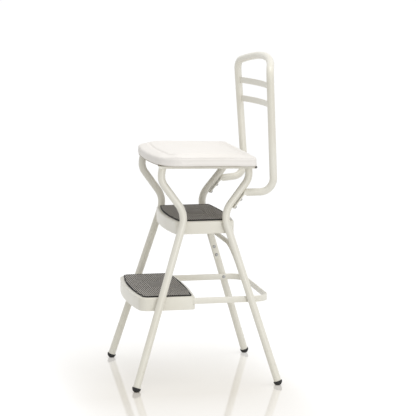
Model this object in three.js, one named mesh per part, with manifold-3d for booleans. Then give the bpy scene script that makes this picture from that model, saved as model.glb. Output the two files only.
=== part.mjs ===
// A step stool chair with a flip-up seat: four bent tube legs, two fixed steps with ribbed mats,
// a padded seat on a continuous rear hinge, and a tube back with two slats.
// Millimetres, +Z up, the sitter faces -Y, and the origin is on the floor under the middle.

import * as THREE from 'three';
import { mergeVertices } from 'three/addons/utils/BufferGeometryUtils.js';
import Module from 'manifold-3d';

const wasm = await Module();
wasm.setup();

// Clearances
const gap = 0.3;
const overrun = 6;
const beyond = 1000;

// Stock that the frame is made of
const tube = { radius: 9.5, wall: 1.2, sides: 16 };
const strap = { width: 16, thickness: 3 };
const sheet = 1.2;

// Places of the legs, on the +X side; the other side mirrors them
const waistHeight = 441.5;
const aboveWaist = {
  shoulderHeight: 87,
  topHeight: 131,
  axisHeight: 117,
  backLowHeight: 55,
  backTopHeight: 363.5,
};
const shoulderHeight = waistHeight + aboveWaist.shoulderHeight;
const topHeight = waistHeight + aboveWaist.topHeight;
const legBend = { waistRadius: 60, shoulderRadius: 42, steps: 6 };
const legs = {
  front: { foot: [210.7, -189.5], waist: [156, -49.7], shoulder: [148, -112.4], top: [146.7, -105.4] },
  rear: { foot: [201.7, 184.4], waist: [156, 47.9], shoulder: [146.7, 116.6], top: [146, 114.6] },
};

// How far from the middle a leg's inner face stands at a height below its waist
function legInside({ foot: [footX], waist: [waistX] }, height) {
  return THREE.MathUtils.lerp(footX, waistX, height / waistHeight) - tube.radius;
}

// Foot caps: a domed cup over each tube's end, cut flat where it stands
const foot = { radius: 11.4, crest: 7.4, domeCentre: 10.4, rim: 11.6, edge: 0.8, sides: 24 };
const footDomeShares = [[0.42, -0.91], [0.71, -0.71], [0.91, -0.42], [1, 0]];

// Seat plane: the hinge axis and the slope that lifts the seat's front edge
const hinge = { y: 131.6, z: waistHeight + aboveWaist.axisHeight, slopeDegrees: 1.2 };
const seatBottom = 4.2;
const railSize = { legGap: 1, webThickness: 2.6, flangeWidth: 25.8 };
const railInside = legs.front.top[0] + tube.radius + railSize.legGap;
const seatRail = {
  inside: railInside,
  outside: railInside + railSize.webThickness,
  flangeEdge: railInside + railSize.webThickness - railSize.flangeWidth,
  flangeThickness: 2.2,
  top: 2.5,
  front: -249,
  flangeRear: -8,
  earRadius: 3.9,
  earSteps: 8,
};
const crossRail = { front: -27, rear: -9, lip: 2.5, drop: 3.5 };
const leafSize = { railGap: 0.6, earThickness: 1.5, width: 20.6, screwFromEdge: 9 };
const hingeOutside = seatRail.inside - leafSize.railGap;
const seatHinge = {
  inside: hingeOutside - leafSize.earThickness,
  outside: hingeOutside,
  leafEdge: hingeOutside - leafSize.width,
  thickness: 1.1,
  front: -50,
  rear: -6.9,
  earRadius: 3.9,
  earSteps: 20,
  screwAcross: hingeOutside - leafSize.width + leafSize.screwFromEdge,
  screws: [-38, -18],
};
const hingePin = {
  radius: 2,
  clearance: 0.08,
  headRadius: 3.2,
  headHeight: 1.5,
  endRadius: 3,
  endHeight: 1,
  sides: 12,
};

// Seat board and cushion, in the seat plane
const seat = {
  halfWidth: 190,
  front: -266.5,
  rear: 0.5,
  frontBow: 18,
  rearBow: 1.5,
  frontCorner: 66,
  rearCorner: 12,
};
const board = { inset: 3.5, thickness: 8 };
const cushion = { sideHeight: 24, crown: 18, edgeRadius: 7, bulge: 1.6, bulgeShare: 0.55 };
const crownShares = [0.9, 0.75, 0.58, 0.4, 0.2];
const crownPower = 2.4;
const pad = { radius: 7, fromFlangeEdge: 12, along: -215, thickness: 1.1, sides: 20 };

// Back: one bent tube, whose flattened ends lie on the rear faces of the rear legs
const back = {
  topHalf: 193.5,
  topY: 159.1,
  topZ: waistHeight + aboveWaist.backTopHeight,
  lowHalf: 172,
  lowY: 175.6,
  lowZ: waistHeight + aboveWaist.backLowHeight,
  bow: 29,
  crown: 25,
  cornerRadius: 27,
  lowRadius: 36,
  turnRadius: 16,
  steps: 6,
};
const barShares = [0.72, 0.55, 0.37, 0.18, 0];
const backPlate = { start: 26, turn: 76, width: 20, thickness: 3.2, standOff: 1.2, bolts: [31.7, 55.7] };
const slatShares = [0.836, 0.677];
const slats = { height: 16, thickness: 2.5, bow: 31, steps: 12 };

// Steps: pressed steel pans with a skirt and a rolled lip, and a rubber mat on each
const upperPlace = { legGap: 2.8, belowWaist: 19.3, screwBelowWaist: 36, depth: 33.2 };
const upperTop = waistHeight - upperPlace.belowWaist;
const upperScrewHeight = waistHeight - upperPlace.screwBelowWaist;
const upperStep = {
  halfWidth: legInside(legs.rear, upperScrewHeight) - upperPlace.legGap,
  front: -84.9,
  rear: 86.1,
  frontBow: 13,
  rearBow: 9,
  frontCorner: 13,
  rearCorner: 6,
  top: upperTop,
  bottom: upperTop - upperPlace.depth,
};
const loopHeight = 220.1;
const lowerPlace = { legGap: 2.9, aboveLoop: 13.1, depth: 34.7 };
const lowerTop = loopHeight + lowerPlace.aboveLoop;
const lowerStep = {
  halfWidth: legInside(legs.front, loopHeight) - lowerPlace.legGap,
  front: -182.4,
  rear: -20.9,
  frontBow: 15,
  rearBow: 7,
  frontCorner: 26,
  rearCorner: 12,
  top: lowerTop,
  bottom: lowerTop - lowerPlace.depth,
};
const lipRadius = 4;
const lipSteps = 3;
const mat = {
  thickness: 2.4,
  sideBorder: 7.2,
  frontBorder: 12,
  rearBorder: 9,
  bowShare: 0.9,
  frontCornerShare: 0.6,
  rearCornerShare: 0.3,
  edge: 0.8,
};

// Rail loop: a strap on edge that carries the lower step and runs round behind the rear legs
const loopLegGap = 1.25;
const loop = {
  half: legInside(legs.rear, loopHeight) - loopLegGap,
  rear: 168.1,
  frontEnd: -138.9,
  cornerRadius: 38,
  steps: 8,
};
const notchGap = 1;

// Brace: a narrower strap bent to an inverted U between the rear legs, whose heights
// share the room between the rail loop and the upper step
const braceLowShare = 0.316;
const braceCrossShare = 0.825;
const braceScrewShares = [0.379, 0.514];
const braceCornerShare = 0.7;
const brace = { width: 13, forward: 2, steps: 8 };

// Fasteners
const screw = { radius: 2.5, headRadius: 4.4, headHeight: 2.6, sides: 10 };
const bolt = { radius: 3, headRadius: 4.9, headHeight: 5, sides: 10 };
const threadDepth = 5;
const headDomeShares = [[0.62, -0.88], [0.93, -0.5]];
const countersunk = { radius: 1.5, headRadius: 2.6, headDepth: 1.1, length: 7, sides: 10 };
const spacerRadius = 6;
const cornerAllowance = 0.9;

// Materials
const cream = 0xded9cd;
const paint = new THREE.MeshStandardMaterial({ color: cream, roughness: 0.35, metalness: 0.1 });
const vinyl = new THREE.MeshStandardMaterial({ color: 0xf5f3ee, roughness: 0.45, metalness: 0 });
const matRubber = new THREE.MeshStandardMaterial({ color: 0x4a4744, roughness: 0.8, metalness: 0 });
const footRubber = new THREE.MeshStandardMaterial({ color: 0x161616, roughness: 0.6, metalness: 0 });
const zinc = new THREE.MeshStandardMaterial({ color: 0xb4b6b8, roughness: 0.35, metalness: 0.9 });
const darkSteel = new THREE.MeshStandardMaterial({ color: 0x55534f, roughness: 0.45, metalness: 0.8 });
const plywood = new THREE.MeshStandardMaterial({ color: 0xc9ab7c, roughness: 0.8, metalness: 0 });

const xAxis = new THREE.Vector3(1, 0, 0);
const yAxis = new THREE.Vector3(0, 1, 0);
const zAxis = new THREE.Vector3(0, 0, 1);

// Geometry helpers

// A curve through given stations, with one extrusion step between each two.
class StationPath extends THREE.Curve {
  constructor(stations) {
    super();
    this.stations = stations;
  }

  getPoint(t, target = new THREE.Vector3()) {
    const last = this.stations.length - 1;
    const index = Math.min(Math.floor(t * last + 1e-6), last - 1);
    return target.lerpVectors(this.stations[index], this.stations[index + 1], t * last - index);
  }

  getPointAt(t, target) {
    return this.getPoint(t, target);
  }

  getTangentAt(t, target = new THREE.Vector3()) {
    const index = Math.round(t * (this.stations.length - 1));
    const here = this.stations[index];
    const before = this.stations[index - 1] ?? here;
    const after = this.stations[index + 1] ?? here;
    const arriving = here.clone().sub(before).normalize();
    const leaving = after.clone().sub(here).normalize();
    return target.addVectors(arriving, leaving).normalize();
  }
}

// Stations of a polyline whose inner corners are rounded to arcs.
function filletedPath(corners, radii, steps) {
  const stations = [corners[0].clone()];
  for (let i = 1; i < corners.length - 1; i += 1) {
    const toPrevious = corners[i - 1].clone().sub(corners[i]).normalize();
    const toNext = corners[i + 1].clone().sub(corners[i]).normalize();
    const corner = toPrevious.angleTo(toNext);
    const radius = radii[i - 1];
    const start = corners[i].clone().addScaledVector(toPrevious, radius / Math.tan(corner / 2));
    const bisector = toPrevious.clone().add(toNext).normalize();
    const centre = corners[i].clone().addScaledVector(bisector, radius / Math.sin(corner / 2));
    const outward = start.clone().sub(centre).normalize();
    const along = toPrevious.clone().negate();
    for (let k = 0; k <= steps; k += 1) {
      const angle = ((Math.PI - corner) * k) / steps;
      const station = centre.clone();
      station.addScaledVector(outward, radius * Math.cos(angle));
      station.addScaledVector(along, radius * Math.sin(angle));
      stations.push(station);
    }
  }
  stations.push(corners[corners.length - 1].clone());
  return stations;
}

function circlePoints(radius, count) {
  const points = [];
  for (let i = 0; i < count; i += 1) {
    const angle = (2 * Math.PI * i) / count;
    points.push(new THREE.Vector2(radius * Math.cos(angle), radius * Math.sin(angle)));
  }
  return points;
}

// Only positions, shared vertices merged, no empty triangles, faces pointing out.
function closedGeometry(geometry) {
  const bare = geometry.clone();
  bare.deleteAttribute('normal');
  bare.deleteAttribute('uv');
  const merged = mergeVertices(bare, 1e-3);
  const position = merged.getAttribute('position');
  const corner = [new THREE.Vector3(), new THREE.Vector3(), new THREE.Vector3()];
  const kept = [];
  let volume = 0;
  for (let i = 0; i < merged.index.count; i += 3) {
    const face = [0, 1, 2].map((k) => merged.index.getX(i + k));
    if (face[0] === face[1] || face[1] === face[2] || face[2] === face[0]) continue;
    face.forEach((vertex, k) => corner[k].fromBufferAttribute(position, vertex));
    volume += corner[0].dot(corner[1].clone().cross(corner[2]));
    kept.push(face);
  }
  if (volume < 0) kept.forEach((face) => face.reverse());
  merged.setIndex(kept.flat());
  return merged;
}

function toManifold(geometry) {
  const clean = closedGeometry(geometry);
  const mesh = new wasm.Mesh({
    numProp: 3,
    vertProperties: new Float32Array(clean.getAttribute('position').array),
    triVerts: new Uint32Array(clean.index.array),
  });
  return new wasm.Manifold(mesh);
}

function fromManifold(manifold) {
  const mesh = manifold.getMesh();
  const geometry = new THREE.BufferGeometry();
  geometry.setAttribute('position', new THREE.BufferAttribute(new Float32Array(mesh.vertProperties), 3));
  geometry.setIndex(new THREE.BufferAttribute(new Uint32Array(mesh.triVerts), 1));
  return geometry;
}

function cut(geometry, tools) {
  let manifold = toManifold(geometry);
  tools.forEach((tool) => {
    manifold = manifold.subtract(toManifold(tool));
  });
  return fromManifold(manifold);
}

function join(pieces) {
  let manifold = toManifold(pieces[0]);
  pieces.slice(1).forEach((piece) => {
    manifold = manifold.add(toManifold(piece));
  });
  return fromManifold(manifold);
}

function tubeGeometry(stations, outer, inner = 0, count = tube.sides) {
  const shape = new THREE.Shape(circlePoints(outer, count));
  if (inner > 0) shape.holes.push(new THREE.Path(circlePoints(inner, count)));
  return new THREE.ExtrudeGeometry(shape, {
    steps: stations.length - 1,
    extrudePath: new StationPath(stations),
  });
}

// A round bar from one point to another.
function rod(from, to, radius, count = tube.sides) {
  return tubeGeometry([from.clone(), to.clone()], radius, 0, count);
}

// A profile of [radius, height] pairs turned about the line from a point along a direction.
function turned(profile, from, direction, count) {
  const points = profile.map(([radius, height]) => new THREE.Vector2(radius, height));
  const geometry = new THREE.LatheGeometry(points, count);
  const turn = new THREE.Quaternion().setFromUnitVectors(yAxis, direction.clone().normalize());
  geometry.applyQuaternion(turn);
  geometry.translate(from.x, from.y, from.z);
  return closedGeometry(geometry);
}

// A domed screw: the underside of its head is at a point, and its shank ends at another.
function screwGeometry(seatPoint, end, size) {
  const direction = end.clone().sub(seatPoint);
  const length = direction.length();
  const dome = headDomeShares.map(([across, along]) => [size.headRadius * across, size.headHeight * along]);
  const shank = [[size.headRadius, 0], [size.radius, 0], [size.radius, length], [0, length]];
  return turned([[0, -size.headHeight], ...dome, ...shank], seatPoint, direction, size.sides);
}

// The hole for such a screw, from outside its head to past its end.
function screwHole(seatPoint, end, size) {
  const direction = end.clone().sub(seatPoint).normalize();
  const from = seatPoint.clone().addScaledVector(direction, -overrun);
  const to = end.clone().addScaledVector(direction, gap);
  return rod(from, to, size.radius + gap, size.sides);
}

// A strap bent along a plane path: its outline in the plane, extruded to its width.
function strapGeometry(path, thickness, width) {
  const near = [];
  const far = [];
  path.forEach((point, i) => {
    const before = path[i - 1] ?? point;
    const after = path[i + 1] ?? point;
    const arriving = point.clone().sub(before).normalize();
    const leaving = after.clone().sub(point).normalize();
    const tangent = arriving.add(leaving).normalize();
    const normal = new THREE.Vector2(-tangent.y, tangent.x).multiplyScalar(thickness / 2);
    near.push(point.clone().add(normal));
    far.unshift(point.clone().sub(normal));
  });
  const shape = new THREE.Shape([...near, ...far]);
  const geometry = new THREE.ExtrudeGeometry(shape, { depth: width, bevelEnabled: false });
  return geometry.translate(0, 0, -width / 2);
}

function flatPath(corners, radii, steps) {
  const lifted = corners.map(([x, y]) => new THREE.Vector3(x, y, 0));
  return filletedPath(lifted, radii, steps).map((point) => new THREE.Vector2(point.x, point.y));
}

// An outline with straight sides, bowed front and rear edges and round corners, as arcs.
// An angle is counted from -Y towards +X.
class BowedOutline {
  constructor({ halfWidth, front, rear, frontBow, rearBow, frontCorner, rearCorner }) {
    const frontArc = BowedOutline.edge(halfWidth, frontBow, frontCorner);
    const rearArc = BowedOutline.edge(halfWidth, rearBow, rearCorner);
    const frontCentre = front + frontArc.radius;
    const rearCentre = rear - rearArc.radius;
    const turn = Math.PI;
    const frontY = frontCentre - frontArc.offset;
    const rearY = rearCentre + rearArc.offset;
    const frontX = halfWidth - frontCorner;
    const rearX = halfWidth - rearCorner;
    this.centre = new THREE.Vector2(0, (front + rear) / 2);
    this.arcs = [
      [0, frontCentre, frontArc.radius, -frontArc.reach, frontArc.reach, 8],
      [frontX, frontY, frontCorner, frontArc.reach, turn / 2, 5],
      [rearX, rearY, rearCorner, turn / 2, turn - rearArc.reach, 5],
      [0, rearCentre, rearArc.radius, turn - rearArc.reach, turn + rearArc.reach, 8],
      [-rearX, rearY, rearCorner, turn + rearArc.reach, turn * 1.5, 5],
      [-frontX, frontY, frontCorner, turn * 1.5, turn * 2 - frontArc.reach, 5],
    ];
  }

  static edge(halfWidth, bow, corner) {
    const radius = (halfWidth * halfWidth + bow * bow) / (2 * bow);
    const inside = halfWidth - corner;
    const offset = Math.sqrt((radius - corner) ** 2 - inside ** 2);
    return { radius, offset, reach: Math.atan2(inside, offset) };
  }

  ring(inset, z, scale = 1) {
    return this.arcs.flatMap(([cx, cy, radius, from, to, steps]) =>
      Array.from({ length: steps }, (_, i) => {
        const angle = from + ((to - from) * i) / steps;
        const x = cx + (radius - inset) * Math.sin(angle);
        const y = cy - (radius - inset) * Math.cos(angle);
        const point = new THREE.Vector2(x, y).sub(this.centre).multiplyScalar(scale).add(this.centre);
        return new THREE.Vector3(point.x, point.y, z);
      }),
    );
  }
}

// A closed skin through rings of equal counts, capped by a fan at each end.
function loft(rings) {
  const positions = [];
  const index = [];
  const count = rings[0].length;
  rings.forEach((ring) => ring.forEach((point) => positions.push(point.x, point.y, point.z)));
  for (let r = 0; r < rings.length - 1; r += 1) {
    for (let i = 0; i < count; i += 1) {
      const next = (i + 1) % count;
      const low = r * count;
      const high = low + count;
      index.push(low + i, low + next, high + next, low + i, high + next, high + i);
    }
  }
  [[0, 1], [rings.length - 1, -1]].forEach(([r, way]) => {
    const middle = new THREE.Vector3();
    rings[r].forEach((point) => middle.addScaledVector(point, 1 / count));
    positions.push(middle.x, middle.y, middle.z);
    const apex = positions.length / 3 - 1;
    for (let i = 0; i < count; i += 1) {
      const pair = [r * count + i, r * count + ((i + 1) % count)];
      index.push(...(way > 0 ? [pair[1], pair[0], apex] : [pair[0], pair[1], apex]));
    }
  });
  const geometry = new THREE.BufferGeometry();
  geometry.setAttribute('position', new THREE.Float32BufferAttribute(positions, 3));
  geometry.setIndex(index);
  return closedGeometry(geometry);
}

function mirrored(geometry) {
  return closedGeometry(geometry.clone().scale(-1, 1, 1));
}

function box(x, y, z) {
  const geometry = new THREE.BoxGeometry(x[1] - x[0], y[1] - y[0], z[1] - z[0]);
  return geometry.translate((x[0] + x[1]) / 2, (y[0] + y[1]) / 2, (z[0] + z[1]) / 2);
}

// An outline in the YZ plane, extruded along X between two places.
function profileAlongX(points, from, to) {
  const shape = new THREE.Shape(points.map(([y, z]) => new THREE.Vector2(y, z)));
  const geometry = new THREE.ExtrudeGeometry(shape, { depth: to - from, bevelEnabled: false });
  const turn = new THREE.Matrix4().makeBasis(yAxis, zAxis, xAxis);
  return geometry.applyMatrix4(turn).translate(from, 0, 0);
}

function arc(radius, from, to, steps) {
  return Array.from({ length: steps + 1 }, (_, i) => {
    const angle = from + ((to - from) * i) / steps;
    return [radius * Math.cos(angle), radius * Math.sin(angle)];
  });
}

// The part
const part = new THREE.Group();

function add(name, geometry, material) {
  const mesh = new THREE.Mesh(geometry, material.clone());
  mesh.name = name;
  part.add(mesh);
}

function addPair(name, geometry, material) {
  add(`${name}_left`, geometry, material);
  add(`${name}_right`, mirrored(geometry), material);
}

const slope = THREE.MathUtils.degToRad(hinge.slopeDegrees);
const seatPlane = new THREE.Matrix4().makeRotationX(-slope).setPosition(0, hinge.y, hinge.z);

function inSeatPlane(geometry) {
  return closedGeometry(geometry.clone().applyMatrix4(seatPlane));
}

// Legs, with the holes that their fasteners take
function legCorners({ foot: footPoint, waist, shoulder, top }) {
  return [
    new THREE.Vector3(...footPoint, 0),
    new THREE.Vector3(...waist, waistHeight),
    new THREE.Vector3(...shoulder, shoulderHeight),
    new THREE.Vector3(...top, topHeight),
  ];
}

function lowerLegPoint(corners, height) {
  return corners[0].clone().lerp(corners[1], height / waistHeight);
}

const frontCorners = legCorners(legs.front);
const rearCorners = legCorners(legs.rear);
const legBore = tube.radius - tube.wall;
const railTopUnderside = seatRail.top - seatRail.flangeThickness - gap;
const aboveRail = inSeatPlane(box([0, beyond], [-beyond, beyond], [railTopUnderside, beyond]));

function legStations(corners) {
  const axis = corners[1].clone().sub(corners[0]).normalize();
  const start = corners[0].clone().addScaledVector(axis, foot.crest + gap);
  const radii = [legBend.waistRadius, legBend.shoulderRadius];
  return filletedPath([start, ...corners.slice(1)], radii, legBend.steps);
}

// A screw that runs along X from inside a leg into its inner wall.
function crossScrew(corners, height, headX, size) {
  const centre = lowerLegPoint(corners, height);
  const seatPoint = new THREE.Vector3(headX, centre.y, height);
  const end = new THREE.Vector3(centre.x - tube.radius + threadDepth, centre.y, height);
  return { seatPoint, end, size };
}

const loopInside = loop.half - strap.thickness;
const upperSkirtInside = upperStep.halfWidth - sheet;
const upperHeadX = upperSkirtInside - gap - cornerAllowance;
const upperFrontScrew = crossScrew(frontCorners, upperScrewHeight, upperHeadX, screw);
const upperRearScrew = crossScrew(rearCorners, upperScrewHeight, upperHeadX, screw);
const lowerFrontScrew = crossScrew(frontCorners, loopHeight, loopInside - gap, screw);
const loopRearScrew = crossScrew(rearCorners, loopHeight, loopInside - gap, screw);

function braceHeight(share) {
  return THREE.MathUtils.lerp(loopHeight, upperStep.bottom, share);
}

const braceLow = braceHeight(braceLowShare);
const braceCross = braceHeight(braceCrossShare);
const braceCorner = (braceCross - braceLow) * braceCornerShare;

// Plane of the rear lower legs, in which the brace is bent
const braceUp = new THREE.Vector3(0, rearCorners[1].y - rearCorners[0].y, waistHeight).normalize();
const braceNormal = new THREE.Vector3().crossVectors(xAxis, braceUp);
const bracePlane = new THREE.Matrix4().makeBasis(xAxis, braceUp, braceNormal);
const braceForward = braceNormal.clone().multiplyScalar(brace.forward);
bracePlane.setPosition(new THREE.Vector3(0, rearCorners[0].y, 0).add(braceForward));
const rearLegAxis = rearCorners[1].clone().sub(rearCorners[0]).normalize();
const braceInward = new THREE.Vector3().crossVectors(braceNormal, rearLegAxis).normalize();
if (braceInward.x > 0) braceInward.negate();
const braceMiddle = tube.radius + gap + strap.thickness / 2;
const braceHead = tube.radius + gap + strap.thickness + gap;

const braceScrews = braceScrewShares.map((share) => {
  const centre = lowerLegPoint(rearCorners, braceHeight(share)).add(braceForward);
  const seatPoint = centre.clone().addScaledVector(braceInward, braceHead);
  const end = centre.clone().addScaledVector(braceInward, tube.radius - threadDepth);
  return { seatPoint, end, size: screw };
});

// Upper incline of the rear leg, on whose rear face the back's flattened ends lie
const incline = rearCorners[2].clone().sub(rearCorners[1]).normalize();
const inclineRear = new THREE.Vector3().crossVectors(incline, xAxis).normalize();
if (inclineRear.y < 0) inclineRear.negate();
const plateMiddle = tube.radius + backPlate.standOff + backPlate.thickness / 2;
const plateFace = tube.radius + backPlate.standOff + backPlate.thickness + gap;

function inclinePoint(along, out) {
  return rearCorners[1].clone().addScaledVector(incline, along).addScaledVector(inclineRear, out);
}

const backBolts = backPlate.bolts.map((along) => ({
  seatPoint: inclinePoint(along, plateFace),
  end: inclinePoint(along, tube.radius - threadDepth),
  size: bolt,
}));

function drilled(geometry, screws, more = []) {
  const holes = screws.map(({ seatPoint, end, size }) => screwHole(seatPoint, end, size));
  return cut(geometry, [...holes, ...more]);
}

const frontTube = tubeGeometry(legStations(frontCorners), tube.radius, legBore);
const rearTube = tubeGeometry(legStations(rearCorners), tube.radius, legBore);
const frontLeg = drilled(frontTube, [upperFrontScrew, lowerFrontScrew], [aboveRail]);
const rearScrews = [upperRearScrew, loopRearScrew, ...braceScrews, ...backBolts];
addPair('front_leg', frontLeg, paint);
addPair('rear_leg', drilled(rearTube, rearScrews, [aboveRail]), paint);

// Foot caps
const belowFloor = box([-beyond, beyond], [-beyond, beyond], [-beyond, 0]);

function footCap(corners) {
  const axis = corners[1].clone().sub(corners[0]).normalize();
  const bore = tube.radius + gap;
  const profile = [
    [0, foot.domeCentre - foot.radius],
    ...footDomeShares.map(([across, along]) => [foot.radius * across, foot.domeCentre + foot.radius * along]),
    [foot.radius, foot.rim - foot.edge],
    [foot.radius - foot.edge, foot.rim],
    [bore, foot.rim],
    [bore, foot.crest],
    [0, foot.crest],
  ];
  return cut(turned(profile, corners[0], axis, foot.sides), [belowFloor]);
}

addPair('front_foot_cap', footCap(frontCorners), footRubber);
addPair('rear_foot_cap', footCap(rearCorners), footRubber);

// Seat rails, with an ear for the hinge pin at the rear of each
const railOutline = [
  [seatRail.front, seatRail.top],
  [seatRail.front, -seatRail.earRadius],
  ...arc(seatRail.earRadius, -Math.PI / 2, Math.asin(seatRail.top / seatRail.earRadius), seatRail.earSteps),
];
const railWeb = profileAlongX(railOutline, seatRail.inside, seatRail.outside);
const railFlange = box(
  [seatRail.flangeEdge, seatRail.inside + gap],
  [seatRail.front, seatRail.flangeRear],
  [seatRail.top - seatRail.flangeThickness, seatRail.top],
);
const pinFrom = new THREE.Vector3(0, 0, 0);
const pinTo = new THREE.Vector3(beyond, 0, 0);
const pinHole = rod(pinFrom, pinTo, hingePin.radius + hingePin.clearance, hingePin.sides);
addPair('seat_rail', inSeatPlane(cut(join([railWeb, railFlange]), [pinHole])), paint);

const crossEnd = seatRail.flangeEdge - gap;
const crossPlate = box(
  [-crossEnd, crossEnd],
  [crossRail.front, crossRail.rear],
  [seatRail.top - seatRail.flangeThickness, seatRail.top],
);
const crossLip = box(
  [-crossEnd, crossEnd],
  [crossRail.front, crossRail.front + crossRail.lip],
  [-crossRail.drop, seatRail.top],
);
add('seat_cross_rail', inSeatPlane(join([crossPlate, crossLip])), paint);

// Seat hinges: a leaf under the board that ends in an ear beside the rail's
const leafTop = seatBottom - gap;
const leafBottom = leafTop - seatHinge.thickness;
const leaf = box(
  [seatHinge.leafEdge, seatHinge.outside],
  [seatHinge.front, seatHinge.rear + gap],
  [leafBottom, leafTop],
);
const earDisc = profileAlongX(
  arc(seatHinge.earRadius, 0, 2 * Math.PI, seatHinge.earSteps).slice(1),
  seatHinge.inside,
  seatHinge.outside,
);
const earNeck = box([seatHinge.inside, seatHinge.outside], [seatHinge.rear, 0], [0, leafTop]);

function countersunkProfile(grown) {
  return [
    [0, -grown],
    [countersunk.headRadius + grown, -grown],
    [countersunk.radius + grown, countersunk.headDepth],
    [countersunk.radius + grown, countersunk.length + grown],
    [0, countersunk.length + grown],
  ];
}

function boardScrew(along, grown) {
  const from = new THREE.Vector3(seatHinge.screwAcross, along, leafBottom);
  return turned(countersunkProfile(grown), from, zAxis, countersunk.sides);
}

const leafHoles = seatHinge.screws.map((along) => boardScrew(along, gap));
const seatHingeSolid = cut(join([leaf, earDisc, earNeck]), [pinHole, ...leafHoles]);
addPair('seat_hinge', inSeatPlane(seatHingeSolid), zinc);

seatHinge.screws.forEach((along, i) => {
  addPair(`seat_hinge_screw_${i + 1}`, inSeatPlane(boardScrew(along, 0)), zinc);
});

const pinStart = new THREE.Vector3(seatRail.outside + gap, 0, 0);
const pinLength = pinStart.x - seatHinge.inside + gap;
const pinProfile = [
  [0, -hingePin.headHeight],
  [hingePin.endRadius, -hingePin.headHeight],
  [hingePin.headRadius, -hingePin.headHeight / 2],
  [hingePin.headRadius, 0],
  [hingePin.radius, 0],
  [hingePin.radius, pinLength],
  [hingePin.endRadius, pinLength],
  [hingePin.endRadius, pinLength + hingePin.endHeight],
  [0, pinLength + hingePin.endHeight],
];
const pinSolid = turned(pinProfile, pinStart, xAxis.clone().negate(), hingePin.sides);
addPair('seat_hinge_pin', inSeatPlane(pinSolid), darkSteel);

// Seat board, its pads on the rails, and the cushion that wraps over it
const seatOutline = new BowedOutline(seat);
const boardTop = seatBottom + board.thickness;
const boardRings = [seatBottom, boardTop].map((z) => seatOutline.ring(board.inset, z));
const mirroredHoles = leafHoles.map(mirrored);
add('seat_board', inSeatPlane(cut(loft(boardRings), [...leafHoles, ...mirroredHoles])), plywood);

const padAcross = seatRail.flangeEdge + pad.fromFlangeEdge;
const padPlace = new THREE.Vector3(padAcross, pad.along, leafTop - pad.thickness);
const padTop = padPlace.clone().setZ(leafTop);
addPair('seat_pad', inSeatPlane(rod(padPlace, padTop, pad.radius, pad.sides)), footRubber);

const cushionSide = seatBottom + cushion.sideHeight;
const shoulderStart = cushionSide - cushion.edgeRadius;
const pocket = board.inset - gap;
const edgeRings = [1, 2, 3].map((step) => {
  const angle = (step * Math.PI) / 6;
  const inset = cushion.edgeRadius * (1 - Math.cos(angle));
  return seatOutline.ring(inset, shoulderStart + cushion.edgeRadius * Math.sin(angle));
});
const crownRings = crownShares.map((share) => {
  const rise = cushion.crown * (1 - share ** crownPower);
  return seatOutline.ring(cushion.edgeRadius, cushionSide + rise, share);
});
const cushionRings = [
  seatOutline.ring(pocket, boardTop + gap),
  seatOutline.ring(pocket, seatBottom + gap),
  seatOutline.ring(cushion.bulge, seatBottom),
  seatOutline.ring(0, seatBottom + cushion.sideHeight * (1 - cushion.bulgeShare)),
  seatOutline.ring(0, shoulderStart),
  ...edgeRings,
  ...crownRings,
];
add('seat_cushion', inSeatPlane(loft(cushionRings)), vinyl);

// Back tube: one half from its flattened end to the middle of the top bar, then its mirror image
const barPoints = barShares.map((share) => {
  const rise = 1 - share ** 2;
  return new THREE.Vector3(back.topHalf * share, back.topY + back.bow * rise, back.topZ + back.crown * rise);
});
const uprightLow = new THREE.Vector3(back.lowHalf, back.lowY, back.lowZ);
const uprightTop = new THREE.Vector3(back.topHalf, back.topY, back.topZ);
const backBends = [
  inclinePoint(backPlate.start, plateMiddle),
  inclinePoint(backPlate.turn, plateMiddle),
  uprightLow,
  uprightTop,
  barPoints[0],
];
const backRadii = [back.turnRadius, back.lowRadius, back.cornerRadius];
const halfStations = [...filletedPath(backBends, backRadii, back.steps), ...barPoints.slice(1)];
const flatStations = 3;

function sectionPoint(angle, roundness, inset) {
  const wide = new THREE.Vector2(Math.cos(angle), Math.sin(angle));
  const flatX = THREE.MathUtils.clamp(wide.x * Math.SQRT2, -1, 1) * (backPlate.width / 2 - inset);
  const flatY = THREE.MathUtils.clamp(wide.y * Math.SQRT2, -1, 1) * (backPlate.thickness / 2 - inset);
  const x = THREE.MathUtils.lerp(flatX, wide.x * (tube.radius - inset), roundness);
  const y = THREE.MathUtils.lerp(flatY, wide.y * (tube.radius - inset), roundness);
  return [x, y];
}

function sweptHalf(stations, inset) {
  const rings = [];
  const across = xAxis.clone().addScaledVector(incline, -xAxis.dot(incline)).normalize();
  stations.forEach((station, i) => {
    const before = stations[i - 1] ?? station;
    const after = stations[i + 1] ?? station;
    const arriving = station.clone().sub(before).normalize();
    const leaving = after.clone().sub(station).normalize();
    const tangent = arriving.add(leaving).normalize();
    if (i === stations.length - 1) tangent.copy(xAxis).negate();
    across.addScaledVector(tangent, -across.dot(tangent)).normalize();
    const up = new THREE.Vector3().crossVectors(tangent, across);
    const roundness = THREE.MathUtils.clamp((i - flatStations + 1) / (back.steps - 1), 0, 1);
    const ring = Array.from({ length: tube.sides }, (_, k) => {
      const [x, y] = sectionPoint((2 * Math.PI * (k + 0.5)) / tube.sides, roundness, inset);
      return station.clone().addScaledVector(across, x).addScaledVector(up, y);
    });
    rings.push(ring);
  });
  return rings;
}

function bothHalves(rings) {
  const others = rings.slice(0, -1).reverse();
  const flipped = others.map((ring) => ring.map(({ x, y, z }) => new THREE.Vector3(-x, y, z)));
  return loft([...rings, ...flipped]);
}

const boreStart = halfStations[0].clone().addScaledVector(incline, -overrun);
const backBore = bothHalves(sweptHalf([boreStart, ...halfStations.slice(1)], tube.wall));
const backHoles = backBolts.map(({ seatPoint, end, size }) => screwHole(seatPoint, end, size));
const backTube = bothHalves(sweptHalf(halfStations, 0));
add('back_frame', cut(backTube, [backBore, ...backHoles, ...backHoles.map(mirrored)]), paint);

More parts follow.
